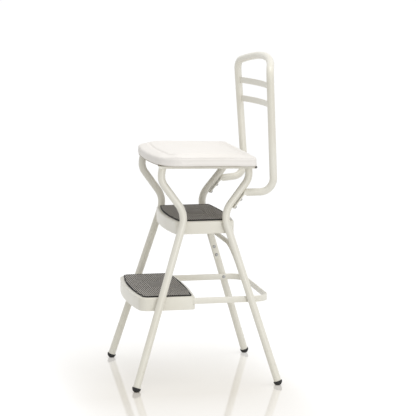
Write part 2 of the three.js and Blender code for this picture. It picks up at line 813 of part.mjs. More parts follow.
// Slats between the uprights, bowed back with the top bar, their ends shaped to the tubes
const uprightSpace = rod(uprightLow, uprightTop, tube.radius + gap, tube.sides);

function slatGeometry(share) {
  const height = THREE.MathUtils.lerp(back.lowZ, back.topZ, share);
  const half = THREE.MathUtils.lerp(back.lowHalf, back.topHalf, share);
  const tubeY = THREE.MathUtils.lerp(back.lowY, back.topY, share);
  const path = Array.from({ length: slats.steps + 1 }, (_, i) => {
    const x = THREE.MathUtils.lerp(half, -half, i / slats.steps);
    return new THREE.Vector2(x, tubeY + slats.bow * (1 - (x / half) ** 2));
  });
  const strip = strapGeometry(path, slats.thickness, slats.height).translate(0, 0, height);
  return cut(strip, [uprightSpace, mirrored(uprightSpace)]);
}

add('back_slat_upper', slatGeometry(slatShares[0]), paint);
add('back_slat_lower', slatGeometry(slatShares[1]), paint);

// Step pans and mats
function panGeometry(size) {
  const outline = new BowedOutline(size);
  const arcRings = (radius, inset, top) =>
    Array.from({ length: lipSteps + 1 }, (_, i) => {
      const angle = (i * Math.PI) / 2 / lipSteps;
      const in2 = inset + radius * (1 - Math.cos(angle));
      return outline.ring(in2, top - radius * (1 - Math.sin(angle)));
    });
  const outside = arcRings(lipRadius, 0, size.top);
  const inside = arcRings(lipRadius - sheet, sheet, size.top - sheet);
  return loft([
    ...inside.reverse(),
    outline.ring(sheet, size.bottom),
    outline.ring(0, size.bottom),
    ...outside,
  ]);
}

function matGeometry(size) {
  const outline = new BowedOutline({
    halfWidth: size.halfWidth - mat.sideBorder,
    front: size.front + mat.frontBorder,
    rear: size.rear - mat.rearBorder,
    frontBow: size.frontBow * mat.bowShare,
    rearBow: size.rearBow * mat.bowShare,
    frontCorner: size.frontCorner * mat.frontCornerShare,
    rearCorner: size.rearCorner * mat.rearCornerShare,
  });
  const base = size.top + gap;
  const top = base + mat.thickness;
  return loft([
    outline.ring(0, base),
    outline.ring(0, top - mat.edge),
    outline.ring(mat.edge, top),
  ]);
}

const upperHoles = [upperFrontScrew, upperRearScrew].map((it) => screwHole(it.seatPoint, it.end, it.size));
const upperPan = cut(panGeometry(upperStep), [...upperHoles, ...upperHoles.map(mirrored)]);
add('upper_step_pan', upperPan, paint);
add('upper_step_mat', matGeometry(upperStep), matRubber);

const notch = box(
  [loopInside - notchGap, loop.half + notchGap],
  [lowerStep.rear - lowerStep.rearCorner * 2, lowerStep.rear + overrun],
  [loopHeight - strap.width / 2 - notchGap, loopHeight + strap.width / 2 + notchGap],
);
const lowerHole = screwHole(lowerFrontScrew.seatPoint, lowerFrontScrew.end, lowerFrontScrew.size);
const lowerTools = [notch, lowerHole].flatMap((tool) => [tool, mirrored(tool)]);
add('lower_step_pan', cut(panGeometry(lowerStep), lowerTools), paint);
add('lower_step_mat', matGeometry(lowerStep), matRubber);

// Rail loop
const loopMiddle = loop.half - strap.thickness / 2;
const loopBack = loop.rear - strap.thickness / 2;
const loopCorners = [
  [loopMiddle, loop.frontEnd],
  [loopMiddle, loopBack],
  [-loopMiddle, loopBack],
  [-loopMiddle, loop.frontEnd],
];
const loopPath = flatPath(loopCorners, [loop.cornerRadius, loop.cornerRadius], loop.steps);
const loopBar = strapGeometry(loopPath, strap.thickness, strap.width).translate(0, 0, loopHeight);
const loopRearHole = screwHole(loopRearScrew.seatPoint, loopRearScrew.end, loopRearScrew.size);
const loopTools = [lowerHole, loopRearHole].flatMap((tool) => [tool, mirrored(tool)]);
add('step_rail_loop', cut(loopBar, loopTools), paint);

// Brace
function braceX(height) {
  return lowerLegPoint(rearCorners, height).x - braceMiddle / rearLegAxis.clone().projectOnPlane(xAxis).length();
}

const bracePoints = [braceLow, braceCross].map((height) => [braceX(height), height / braceUp.z]);
const braceCorners = [
  ...bracePoints,
  ...bracePoints.map(([x, along]) => [-x, along]).reverse(),
];
const bracePath = flatPath(braceCorners, [braceCorner, braceCorner], brace.steps);
const braceBar = strapGeometry(bracePath, strap.thickness, brace.width).applyMatrix4(bracePlane);
const braceHoles = braceScrews.map(({ seatPoint, end, size }) => screwHole(seatPoint, end, size));
add('step_brace', cut(braceBar, [...braceHoles, ...braceHoles.map(mirrored)]), paint);

// Fasteners
const fasteners = {
  upper_step_front_screw: upperFrontScrew,
  upper_step_rear_screw: upperRearScrew,
  lower_step_front_screw: lowerFrontScrew,
  rail_loop_screw: loopRearScrew,
  brace_screw_lower: braceScrews[0],
  brace_screw_upper: braceScrews[1],
  back_bolt_lower: backBolts[0],
  back_bolt_upper: backBolts[1],
};
Object.entries(fasteners).forEach(([name, { seatPoint, end, size }]) => {
  addPair(name, screwGeometry(seatPoint, end, size), zinc);
});

// Spacers between the steps' skirts and the legs that stand off them
function spacerGeometry({ seatPoint, end, size }, corners, skirt) {
  const from = new THREE.Vector3(skirt + gap, seatPoint.y, seatPoint.z);
  const to = new THREE.Vector3(end.x, seatPoint.y, seatPoint.z);
  const body = rod(from, to, spacerRadius, tube.sides);
  const axis = corners[1].clone().sub(corners[0]).normalize();
  const centre = lowerLegPoint(corners, seatPoint.z);
  const legStart = centre.clone().addScaledVector(axis, -overrun * 4);
  const legEnd = centre.clone().addScaledVector(axis, overrun * 4);
  const legSpace = rod(legStart, legEnd, tube.radius + gap, tube.sides);
  return cut(body, [legSpace, screwHole(seatPoint, end, size)]);
}

addPair('upper_step_front_spacer', spacerGeometry(upperFrontScrew, frontCorners, upperStep.halfWidth), zinc);
addPair('upper_step_rear_spacer', spacerGeometry(upperRearScrew, rearCorners, upperStep.halfWidth), zinc);
addPair('lower_step_front_spacer', spacerGeometry(lowerFrontScrew, frontCorners, lowerStep.halfWidth), zinc);

export default part;
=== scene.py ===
"""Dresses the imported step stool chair: smooth tubes, pressed steps, ribbed mats and a padded seat."""

import logging
import math
from collections.abc import Callable, Iterable, Mapping, Sequence
from dataclasses import dataclass
from enum import Enum

import bmesh
import bpy
from mathutils import Matrix, Vector


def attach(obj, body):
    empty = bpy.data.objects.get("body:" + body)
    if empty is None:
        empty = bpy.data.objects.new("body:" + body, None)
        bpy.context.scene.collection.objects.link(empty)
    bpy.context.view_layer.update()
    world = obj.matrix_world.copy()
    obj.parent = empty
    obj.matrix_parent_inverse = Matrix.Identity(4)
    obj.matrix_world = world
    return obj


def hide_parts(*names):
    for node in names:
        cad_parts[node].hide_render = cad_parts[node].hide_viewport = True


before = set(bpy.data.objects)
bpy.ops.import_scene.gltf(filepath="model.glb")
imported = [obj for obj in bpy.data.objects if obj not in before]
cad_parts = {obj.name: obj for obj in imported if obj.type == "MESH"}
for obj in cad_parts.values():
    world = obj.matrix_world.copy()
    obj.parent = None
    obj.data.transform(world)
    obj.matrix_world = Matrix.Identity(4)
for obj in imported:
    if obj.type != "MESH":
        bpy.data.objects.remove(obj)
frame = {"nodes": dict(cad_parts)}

log = logging.getLogger("step_stool")

MM = 0.001
SMOOTH_ANGLE = math.radians(35)
QUARTER = math.pi / 2
ALONG_X = Vector((1, 0, 0))

Path = list[Vector]
Rings = list[list[Vector]]
Section = list[tuple[float, float]]
Colour = tuple[float, float, float, float]

WHITE: Colour = (1.0, 1.0, 1.0, 1.0)
# Wear-attribute level of the mats' groove floors; higher levels are paler, as wear and as a painted
# highlight.
GROOVE_LEVEL = 0.25


class Body(Enum):
    """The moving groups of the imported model."""

    FRAME = "frame"
    SEAT = "seat"


def srgb(*channels: float) -> Colour:
    """Turns an 8-bit sRGB colour into Blender's linear colour with full alpha.

    Args:
        channels: Red, green and blue from 0 to 255.

    Returns:
        Linear red, green and blue, and alpha.
    """
    shares = [value / 255 for value in channels]
    linear = [s / 12.92 if s <= 0.04045 else ((s + 0.055) / 1.055) ** 2.4 for s in shares]
    return (*linear, 1.0)


def limited(value: float) -> float:
    """A number held between 0 and 1."""
    return min(max(value, 0.0), 1.0)


def eased(share: float) -> float:
    """A share from 0 to 1 that leaves 0 and reaches 1 smoothly."""
    share = limited(share)
    return share * share * (3 - 2 * share)


# Node trees


def wired(operation: str, turned: bool = False) -> Callable[["Wire", "Wire | float"], "Wire"]:
    """Makes a method that adds one Math node to a wire's tree.

    Args:
        operation: The Math node's operation.
        turned: Whether the other value comes first.

    Returns:
        The method.
    """

    def method(self: "Wire", other: "Wire | float" = 0.0) -> "Wire":
        """Adds the node for this wire and the other value."""
        first, second = (other, self) if turned else (self, other)
        return self.bench.node("ShaderNodeMath", {"operation": operation}, {0: first, 1: second})

    return method


class Wire:
    """An output socket that takes part in Python expressions on values."""

    __add__ = __radd__ = wired("ADD")
    __sub__ = wired("SUBTRACT")
    __rsub__ = wired("SUBTRACT", turned=True)
    __mul__ = wired("MULTIPLY")
    __truediv__ = wired("DIVIDE")
    __pow__ = wired("POWER")
    least = wired("MINIMUM")
    most = wired("MAXIMUM")
    size = wired("ABSOLUTE")
    folded = wired("PINGPONG")
    square_root = wired("SQRT")

    def __init__(self, bench: "NodeBench", socket: bpy.types.NodeSocket) -> None:
        """Wraps a socket of one bench's tree."""
        self.bench = bench
        self.socket = socket

    def output(self, name: str | int) -> "Wire":
        """Another output of the same node."""
        return Wire(self.bench, self.socket.node.outputs[name])

    def root(self) -> "Wire":
        """The square root of what is not below zero."""
        return self.most(0.0).square_root()

    def held(self) -> "Wire":
        """The value held between 0 and 1."""
        return self.most(0.0).least(1.0)


class NodeBench:
    """Adds nodes to one shader or geometry tree."""

    def __init__(self, tree: bpy.types.NodeTree) -> None:
        """Works on the given tree."""
        self.tree = tree

    def node(
        self,
        kind: str,
        settings: Mapping[str, object] | None = None,
        inputs: Mapping[str | int, object] | None = None,
    ) -> Wire:
        """Adds a node, its settings first and its inputs after them.

        Args:
            kind: The node's type name.
            settings: Properties of the node.
            inputs: Values or wires by socket name or number.

        Returns:
            A wire from the node's first output.
        """
        made = self.tree.nodes.new(kind)
        for name, value in (settings or {}).items():
            setattr(made, name, value)
        for name, value in (inputs or {}).items():
            if isinstance(value, Wire):
                self.tree.links.new(value.socket, made.inputs[name])
            else:
                made.inputs[name].default_value = value
        return Wire(self, made.outputs[0] if made.outputs else made.inputs[0])

    def place(self) -> Wire:
        """Object coordinates, which are metres in the row frame."""
        return self.node("ShaderNodeTexCoord").output("Object")

    def axis(self, name: str, vector: Wire | None = None) -> Wire:
        """One coordinate of a vector, or else of the object coordinates."""
        return self.node("ShaderNodeSeparateXYZ", None, {0: vector or self.place()}).output(name)

    def triple(self, **parts: Wire | float) -> Wire:
        """A vector from its X, Y and Z."""
        return self.node("ShaderNodeCombineXYZ", None, parts)

    def noise(self, scale: float, detail: float = 2.0, vector: Wire | None = None) -> Wire:
        """Noise between 0 and 1 on object coordinates, by default."""
        inputs = {"Vector": vector or self.place(), "Scale": scale, "Detail": detail}
        return self.node("ShaderNodeTexNoise", None, inputs)

    def mix(self, factor: Wire | float, first: Wire | Colour, second: Wire | Colour) -> Wire:
        """Blends two colours."""
        mixed = self.node("ShaderNodeMix", {"data_type": "RGBA"}, {0: factor, 6: first, 7: second})
        return mixed.output(2)

    def bump(self, height: Wire, strength: float, distance: float) -> Wire:
        """A normal from a height."""
        inputs = {"Height": height, "Strength": strength, "Distance": distance}
        return self.node("ShaderNodeBump", None, inputs)

    def surface(self, **inputs: object) -> Wire:
        """A Principled BSDF, with underscores for the spaces of its socket names."""
        named = {name.replace("_", " "): value for name, value in inputs.items()}
        return self.node("ShaderNodeBsdfPrincipled", None, named)

    def blend(self, factor: Wire | float, first: Wire, second: Wire) -> Wire:
        """Mixes two shaders."""
        return self.node("ShaderNodeMixShader", None, {0: factor, 1: first, 2: second})

    def seen(self) -> Wire:
        """1 for what the camera sees, also by reflection or through something clear.

        Returns:
            A wire of 1 or 0.
        """
        rays = self.node("ShaderNodeLightPath")
        direct = rays.output("Is Camera Ray").most(rays.output("Is Glossy Ray"))
        return direct.most(rays.output("Is Transmission Ray"))


def emptied_bench(owner: bpy.types.ID) -> NodeBench:
    """A bench on a material's or world's tree, cleared.

    Args:
        owner: The material or world.

    Returns:
        The bench.
    """
    owner.use_nodes = True
    owner.node_tree.nodes.clear()
    return NodeBench(owner.node_tree)


# Finishes


@dataclass(frozen=True)
class Patches:
    """Patches between 0 and 1: the scale, detail, threshold and gain of their noise."""

    scale: float
    detail: float
    threshold: float
    gain: float

    def spread(self, bench: NodeBench) -> Wire:
        """The patches' strength at each place."""
        return ((bench.noise(self.scale, self.detail) - self.threshold) * self.gain).held()


@dataclass(frozen=True)
class Relief:
    """A fine relief: the scale of its noise, its strength, and its depth in metres."""

    scale: float
    strength: float
    depth: float

    def normal(self, bench: NodeBench) -> Wire:
        """The normal that the relief turns."""
        return bench.bump(bench.noise(self.scale), self.strength, self.depth)


@dataclass(frozen=True)
class Finish:
    """A surface finish that makes one material."""

    name: str
    slot: str

    def shade(self, bench: NodeBench) -> Wire:
        """Builds the finish's nodes and returns its shader."""
        raise NotImplementedError

    def material(self) -> bpy.types.Material:
        """The finish's material, made once.

        Returns:
            The material.
        """
        made = bpy.data.materials.get(self.name)
        if made is None:
            made = bpy.data.materials.new(self.name)
            bench = emptied_bench(made)
            bench.node("ShaderNodeOutputMaterial", None, {"Surface": self.shade(bench)})
        return made


@dataclass(frozen=True)
class Enamel(Finish):
    """Cream enamel sprayed on steel: faint mottling, orange peel, scuffs near the floor."""

    colour: Colour = srgb(229, 226, 215)
    shadow_colour: Colour = srgb(219, 214, 199)
    scuff_colour: Colour = srgb(176, 170, 156)
    mottling: Patches = Patches(9.0, 4.0, 0.3125, 1.6)
    scuffs: Patches = Patches(70.0, 6.0, 0.62, 8.0)
    scuff_fade: float = 6.0
    scuffs_low: float = 0.5
    scuffs_everywhere: float = 0.05
    scuff_roughness: float = 0.3
    peel: Relief = Relief(520.0, 0.06, 0.0004)
    streak_scale: float = 38.0
    streak_roughness: float = 0.12
    roughness: float = 0.28
    coat: float = 0.15
    coat_roughness: float = 0.2

    def shade(self, bench: NodeBench) -> Wire:
        """Mottled colour, scuffs low down, and a fine peel in the normal.

        Args:
            bench: Bench on the material's tree.

        Returns:
            The shader's wire.
        """
        tone = bench.mix(self.mottling.spread(bench), self.colour, self.shadow_colour)
        low = (1.0 - bench.axis("Z") * self.scuff_fade).held()
        scuffs = self.scuffs.spread(bench) * (low * self.scuffs_low + self.scuffs_everywhere)
        streaks = bench.noise(self.streak_scale, detail=3.0) * self.streak_roughness
        return bench.surface(
            Base_Color=bench.mix(scuffs, tone, self.scuff_colour),
            Roughness=streaks + self.roughness + scuffs * self.scuff_roughness,
            Normal=self.peel.normal(bench),
            Coat_Weight=self.coat,
            Coat_Roughness=self.coat_roughness,
        )


@dataclass(frozen=True)
class Vinyl(Finish):
    """White upholstery vinyl: fine pebble grain, soft sheen, a little handling tone."""

    colour: Colour = srgb(236, 232, 227)
    worn_colour: Colour = srgb(231, 226, 219)
    wear: Patches = Patches(7.0, 4.0, 0.45, 2.4)
    cell_scale: float = 780.0
    cell_smoothness: float = 0.6
    fine_scale: float = 1500.0
    fine_share: float = 0.3
    grain_strength: float = 0.16
    grain_depth: float = 0.0003
    drift_scale: float = 60.0
    drift_roughness: float = 0.12
    roughness: float = 0.48
    specular: float = 0.35

    def shade(self, bench: NodeBench) -> Wire:
        """Pebble grain from cells, broken up by noise, with slight soiling.

        Args:
            bench: Bench on the material's tree.

        Returns:
            The shader's wire.
        """
        cell_inputs = {
            "Vector": bench.place(),
            "Scale": self.cell_scale,
            "Smoothness": self.cell_smoothness,
        }
        cells = bench.node("ShaderNodeTexVoronoi", {"feature": "SMOOTH_F1"}, cell_inputs)
        grain = cells + bench.noise(self.fine_scale) * self.fine_share
        drift = bench.noise(self.drift_scale, detail=3.0)
        return bench.surface(
            Base_Color=bench.mix(self.wear.spread(bench), self.colour, self.worn_colour),
            Roughness=drift * self.drift_roughness + self.roughness,
            Normal=bench.bump(grain, self.grain_strength, self.grain_depth),
            Specular_IOR_Level=self.specular,
        )


@dataclass(frozen=True)
class MatRubber(Finish):
    """Dark moulded rubber whose rib tops are paler: partly wear, partly a painted highlight."""

    colour: Colour = srgb(24, 23, 22)
    # Up-facing faces are paler than the black sides: partly dust and wear, partly a painted highlight.
    groove_colour: Colour = srgb(50, 47, 44)
    wear_and_highlight_colour: Colour = srgb(212, 207, 200)
    patch_scale: float = 26.0
    patch_share: float = 0.4
    wear_and_highlight_gain: float = 1.15
    speckle_scale: float = 420.0
    speckle_share: float = 0.3
    speckle_strength: float = 0.25
    speckle_depth: float = 0.0003
    speckle_roughness: float = 0.2
    roughness: float = 0.72

    def shade(self, bench: NodeBench) -> Wire:
        """Colour by the wear attribute that the mat's mesh carries: wear, and a painted highlight on
        up-facing tops.

        Args:
            bench: Bench on the material's tree.

        Returns:
            The shader's wire.
        """
        wear = bench.node("ShaderNodeAttribute", {"attribute_name": "wear"}).output("Fac")
        speckle = bench.noise(self.speckle_scale, detail=4.0)
        patches = bench.noise(self.patch_scale, detail=3.0) * self.patch_share + self.wear_and_highlight_gain
        # Groove floors and all up-facing faces lighter than the black sides: dust, and partly painted
        # light.
        dust_and_light_share = (wear * (1 / GROOVE_LEVEL)).held()
        specks = (speckle - 0.5) * self.speckle_share * dust_and_light_share
        # Rib tops and plaque painted pale: wear, and a painted highlight.
        wear_and_highlight = ((wear - GROOVE_LEVEL) * patches + specks).held()
        ground = bench.mix(dust_and_light_share, self.colour, self.groove_colour)
        return bench.surface(
            Base_Color=bench.mix(wear_and_highlight, ground, self.wear_and_highlight_colour),
            Roughness=speckle * self.speckle_roughness + self.roughness,
            Normal=bench.bump(speckle, self.speckle_strength, self.speckle_depth),
        )


@dataclass(frozen=True)
class FootRubber(Finish):
    """Black moulded rubber of the foot caps and pads."""

    colour: Colour = srgb(20, 20, 21)
    dust_colour: Colour = srgb(58, 56, 54)
    dust: Patches = Patches(110.0, 5.0, 0.55, 2.5)
    dust_share: float = 0.4
    dust_roughness: float = 0.3
    roughness: float = 0.55
    tooth: Relief = Relief(600.0, 0.15, 0.0003)

    def shade(self, bench: NodeBench) -> Wire:
        """Near black with dust in patches.

        Args:
            bench: Bench on the material's tree.

        Returns:
            The shader's wire.
        """
        dust = self.dust.spread(bench)
        return bench.surface(
            Base_Color=bench.mix(dust * self.dust_share, self.colour, self.dust_colour),
            Roughness=dust * self.dust_roughness + self.roughness,
            Normal=self.tooth.normal(bench),
        )


@dataclass(frozen=True)
class PlatedSteel(Finish):
    """Plated steel of screws, bolts, hinges and pins."""

    colour: Colour = srgb(176, 176, 176)
    tarnish_colour: Colour = srgb(132, 130, 126)
    roughness: float = 0.34
    tarnish: Patches = Patches(240.0, 5.0, 0.4, 2.0)
    tarnish_roughness: float = 0.18
    metallic: float = 0.85
    tooth: Relief = Relief(1400.0, 0.08, 0.0002)

    def shade(self, bench: NodeBench) -> Wire:
        """Grey metal with tarnish patches and a fine tooth.

        Args:
            bench: Bench on the material's tree.

        Returns:
            The shader's wire.
        """
        tarnish = self.tarnish.spread(bench)
        return bench.surface(
            Base_Color=bench.mix(tarnish, self.colour, self.tarnish_colour),
            Metallic=self.metallic,
            Roughness=tarnish * self.tarnish_roughness + self.roughness,
            Normal=self.tooth.normal(bench),
        )


@dataclass(frozen=True)
class Plywood(Finish):
    """Raw plywood: long grain on the faces and plies along the edges."""

    pale_colour: Colour = srgb(172, 163, 146)
    dark_colour: Colour = srgb(138, 129, 112)
    stretch: tuple[float, float, float] = (6.0, 90.0, 90.0)
    grain_scale: float = 2.4
    grain_contrast: float = 1.3
    grain_offset: float = 0.25
    grain_strength: float = 0.2
    grain_depth: float = 0.0004
    grain_roughness: float = 0.15
    ply: float = 0.0013
    ply_contrast: float = 160.0
    roughness: float = 0.68

    def shade(self, bench: NodeBench) -> Wire:
        """Stretched noise for the grain, and a wave in height for the plies.

        Args:
            bench: Bench on the material's tree.

        Returns:
            The shader's wire.
        """
        stretched = bench.node("ShaderNodeMapping", None, {0: bench.place(), 3: self.stretch})
        grain = bench.noise(self.grain_scale, detail=6.0, vector=stretched)
        plies = bench.axis("Z").folded(self.ply) * self.ply_contrast
        tone = (grain * self.grain_contrast - self.grain_offset + plies).held()
        return bench.surface(
            Base_Color=bench.mix(tone, self.pale_colour, self.dark_colour),
            Roughness=grain * self.grain_roughness + self.roughness,
            Normal=bench.bump(grain, self.grain_strength, self.grain_depth),
        )


ENAMEL = Enamel("cream_enamel", "frame_paint")
VINYL = Vinyl("white_vinyl", "seat_vinyl")
MAT_RUBBER = MatRubber("ribbed_mat_rubber", "mat_rubber")
FOOT_RUBBER = FootRubber("foot_cap_rubber", "foot_rubber")
ZINC = PlatedSteel("zinc_plate", "zinc")
PIN_STEEL = PlatedSteel("dark_pin_steel", "pin_steel", srgb(84, 82, 79), srgb(58, 56, 54), 0.4)
PLYWOOD = Plywood("seat_board_plywood", "seat_plywood")


# Shapes


def filleted(corners: Sequence[Vector], radii: Sequence[float], steps: int) -> Path:
    """Rounds the inner corners of a polyline.

    Args:
        corners: The polyline's points.
        radii: One bend radius for each inner corner.
        steps: Arc steps in each bend.

    Returns:
        The stations of the rounded path.
    """
    stations = [corners[0].copy()]
    for index in range(1, len(corners) - 1):
        corner = corners[index]
        back = (corners[index - 1] - corner).normalized()
        ahead = (corners[index + 1] - corner).normalized()
        opening = back.angle(ahead)
        radius = radii[index - 1]
        start = corner + back * (radius / math.tan(opening / 2))
        centre = corner + (back + ahead).normalized() * (radius / math.sin(opening / 2))
        outward = (start - centre).normalized()
        for step in range(steps + 1):
            angle = (math.pi - opening) * step / steps
            turned = outward * math.cos(angle) - back * math.sin(angle)
            stations.append(centre + turned * radius)
    stations.append(corners[-1].copy())
    return stations


def oval(half_width: float, half_height: float, power: float, count: int) -> Section:
    """A closed section between an ellipse (power 2) and a rectangle (large power).

    Args:
        half_width: Half its size across.
        half_height: Half its size upwards.
        power: Its squareness, from 2 up.
        count: Points in the section.

    Returns:
        The section's points.
    """
    section = []
    for index in range(count):
        angle = 2 * math.pi * (index + 0.5) / count
        cosine, sine = math.cos(angle), math.sin(angle)
        across = math.copysign(abs(cosine) ** (2 / power), cosine) * half_width
        up = math.copysign(abs(sine) ** (2 / power), sine) * half_height
        section.append((across, up))
    return section


def bar_section(width: float, height: float, edge: float, steps: int = 3) -> Section:
    """A rectangle with rounded edges.

    Args:
        width: Its size across.
        height: Its size upwards.
        edge: Radius of its edges.
        steps: Arc steps at each edge.

    Returns:
        The section's points.
    """
    section = []
    for quarter, (sign_x, sign_y) in enumerate(((1, 1), (-1, 1), (-1, -1), (1, -1))):
        for step in range(steps + 1):
            angle = QUARTER * (quarter + step / steps)
            x = sign_x * (width / 2 - edge) + edge * math.cos(angle)
            y = sign_y * (height / 2 - edge) + edge * math.sin(angle)
            section.append((x, y))
    return section


def swept(stations: Path, sections: Sequence[Section], across: Vector) -> Rings:
    """Carries sections along a path without twist.

    Args:
        stations: The path.
        sections: One section for each station.
        across: Direction of the first section's first coordinate.

    Returns:
        One ring of points for each station.
    """
    rings = []
    side = across.copy()
    last = len(stations) - 1
    for index, station in enumerate(stations):
        arriving = (station - stations[max(index - 1, 0)]).normalized()
        leaving = (stations[min(index + 1, last)] - station).normalized()
        tangent = (arriving + leaving).normalized()
        side = (side - tangent * side.dot(tangent)).normalized()
        up = tangent.cross(side)
        rings.append([station + side * x + up * y for x, y in sections[index]])
    return rings


def skinned(rings: Rings) -> tuple[Path, list[tuple[int, ...]]]:
    """Joins rings of equal counts to a closed skin with flat ends.

    Args:
        rings: Rings of equal counts, in order.

    Returns:
        The skin's points and faces.
    """
    count = len(rings[0])
    points = [point for ring in rings for point in ring]
    faces: list[tuple[int, ...]] = []
    for row in range(len(rings) - 1):
        for index in range(count):
            after = (index + 1) % count
            low, high = row * count, (row + 1) * count
            faces.append((low + index, low + after, high + after, high + index))
    faces.append(tuple(reversed(range(count))))
    faces.append(tuple(range(len(points) - count, len(points))))
    return points, faces


def lathed(profile: Sequence[tuple[float, float]], base: Vector, axis: Vector, count: int) -> Rings:
    """Rings of a turned shape.

    Args:
        profile: Radius and height of each ring.
        base: Where the height is zero.
        axis: The turning axis.
        count: Points in a ring.

    Returns:
        One ring for each point of the profile.
    """
    turn = axis.to_track_quat("Z", "Y")
    rings = []
    for radius, height in profile:
        ring = []
        for index in range(count):
            angle = 2 * math.pi * index / count
            local = Vector((radius * math.cos(angle), radius * math.sin(angle), height))
            ring.append(base + turn @ local)
        rings.append(ring)
    return rings


@dataclass(frozen=True)
class BowedOutline:
    """An outline with straight sides, bowed front and rear edges and round corners."""

    half_width: float
    front: float
    rear: float
    front_bow: float
    rear_bow: float
    front_corner: float
    rear_corner: float
    edge_steps: int = 26
    corner_steps: int = 9

    def edge(self, bow: float, corner: float) -> tuple[float, float, float]:
        """A bowed edge's radius, its centre's offset from a corner's centre, and its half angle.

        Args:
            bow: How far the edge bulges.
            corner: Radius of its corners.

        Returns:
            The radius, the offset and the half angle.
        """
        radius = (self.half_width**2 + bow**2) / (2 * bow)
        inside = self.half_width - corner
        offset = math.sqrt((radius - corner) ** 2 - inside**2)
        return radius, offset, math.atan2(inside, offset)

    def arcs(self) -> list[tuple[float, float, float, float, float, int]]:
        """Centre, radius, first and last angle and steps of each arc, from -Y towards +X.

        Returns:
            One row for each of the six arcs.
        """
        front_radius, front_offset, front_reach = self.edge(self.front_bow, self.front_corner)
        rear_radius, rear_offset, rear_reach = self.edge(self.rear_bow, self.rear_corner)
        front_centre = self.front + front_radius
        rear_centre = self.rear - rear_radius
        front_y, rear_y = front_centre - front_offset, rear_centre + rear_offset
        front_x = self.half_width - self.front_corner
        rear_x = self.half_width - self.rear_corner
        half, whole = math.pi, 2 * math.pi
        ends, corners = self.edge_steps, self.corner_steps
        return [
            (0, front_centre, front_radius, -front_reach, front_reach, ends),
            (front_x, front_y, self.front_corner, front_reach, half / 2, corners),
            (rear_x, rear_y, self.rear_corner, half / 2, half - rear_reach, corners),
            (0, rear_centre, rear_radius, half - rear_reach, half + rear_reach, ends),
            (-rear_x, rear_y, self.rear_corner, half + rear_reach, half * 1.5, corners),
            (-front_x, front_y, self.front_corner, half * 1.5, whole - front_reach, corners),
        ]

    def ring(self, inset: float, z: float, scale: float = 1.0) -> list[Vector]:
        """The outline moved inwards, at a height, and scaled about its middle.

        Args:
            inset: How far it is moved inwards.
            z: Its height.
            scale: Its scale.

        Returns:
            The ring's points.
        """
        middle = Vector((0, (self.front + self.rear) / 2, 0))
        points = []
        for x, y, radius, start, end, steps in self.arcs():
            for step in range(steps):
                angle = start + (end - start) * step / steps
                reach = radius - inset
                point = Vector((x + reach * math.sin(angle), y - reach * math.cos(angle), 0))
                point = middle + (point - middle) * scale
                points.append(Vector((point.x, point.y, z)))
        return points


def mirrored(points: Iterable[Vector]) -> Path:
    """The points' mirror images about the plane X = 0."""
    return [Vector((-point.x, point.y, point.z)) for point in points]


# Objects


def linked(name: str, data: bpy.types.ID) -> bpy.types.Object:
    """A new object in the scene.

    Args:
        name: The object's name.
        data: Its mesh, lamp or camera.

    Returns:
        The object.
    """
    made = bpy.data.objects.new(name, data)
    bpy.context.scene.collection.objects.link(made)
    return made


def modified(piece: bpy.types.Object) -> bpy.types.Mesh:
    """A new mesh of the piece with its modifiers at work."""
    graph = bpy.context.evaluated_depsgraph_get()
    return bpy.data.meshes.new_from_object(piece.evaluated_get(graph), depsgraph=graph)


def settle(piece: bpy.types.Object) -> None:
    """Makes what the piece's modifiers do part of its mesh.

    Args:
        piece: The object, whose modifiers go.
    """
    old, piece.data = piece.data, modified(piece)
    piece.modifiers.clear()
    bpy.data.meshes.remove(old)


def joined_objects(name: str, parts: Sequence[bpy.types.Object]) -> bpy.types.Object:
    """Joins mesh objects at the origin into one.

    Args:
        name: Name of the result.
        parts: The objects, which become one.

    Returns:
        The joined object.
    """
    for item in bpy.context.selected_objects:
        item.select_set(False)
    for part in parts:
        part.select_set(True)
    made = parts[0]
    bpy.context.view_layer.objects.active = made
    bpy.ops.object.join()
    made.name = made.data.name = name
    made.select_set(False)
    return made


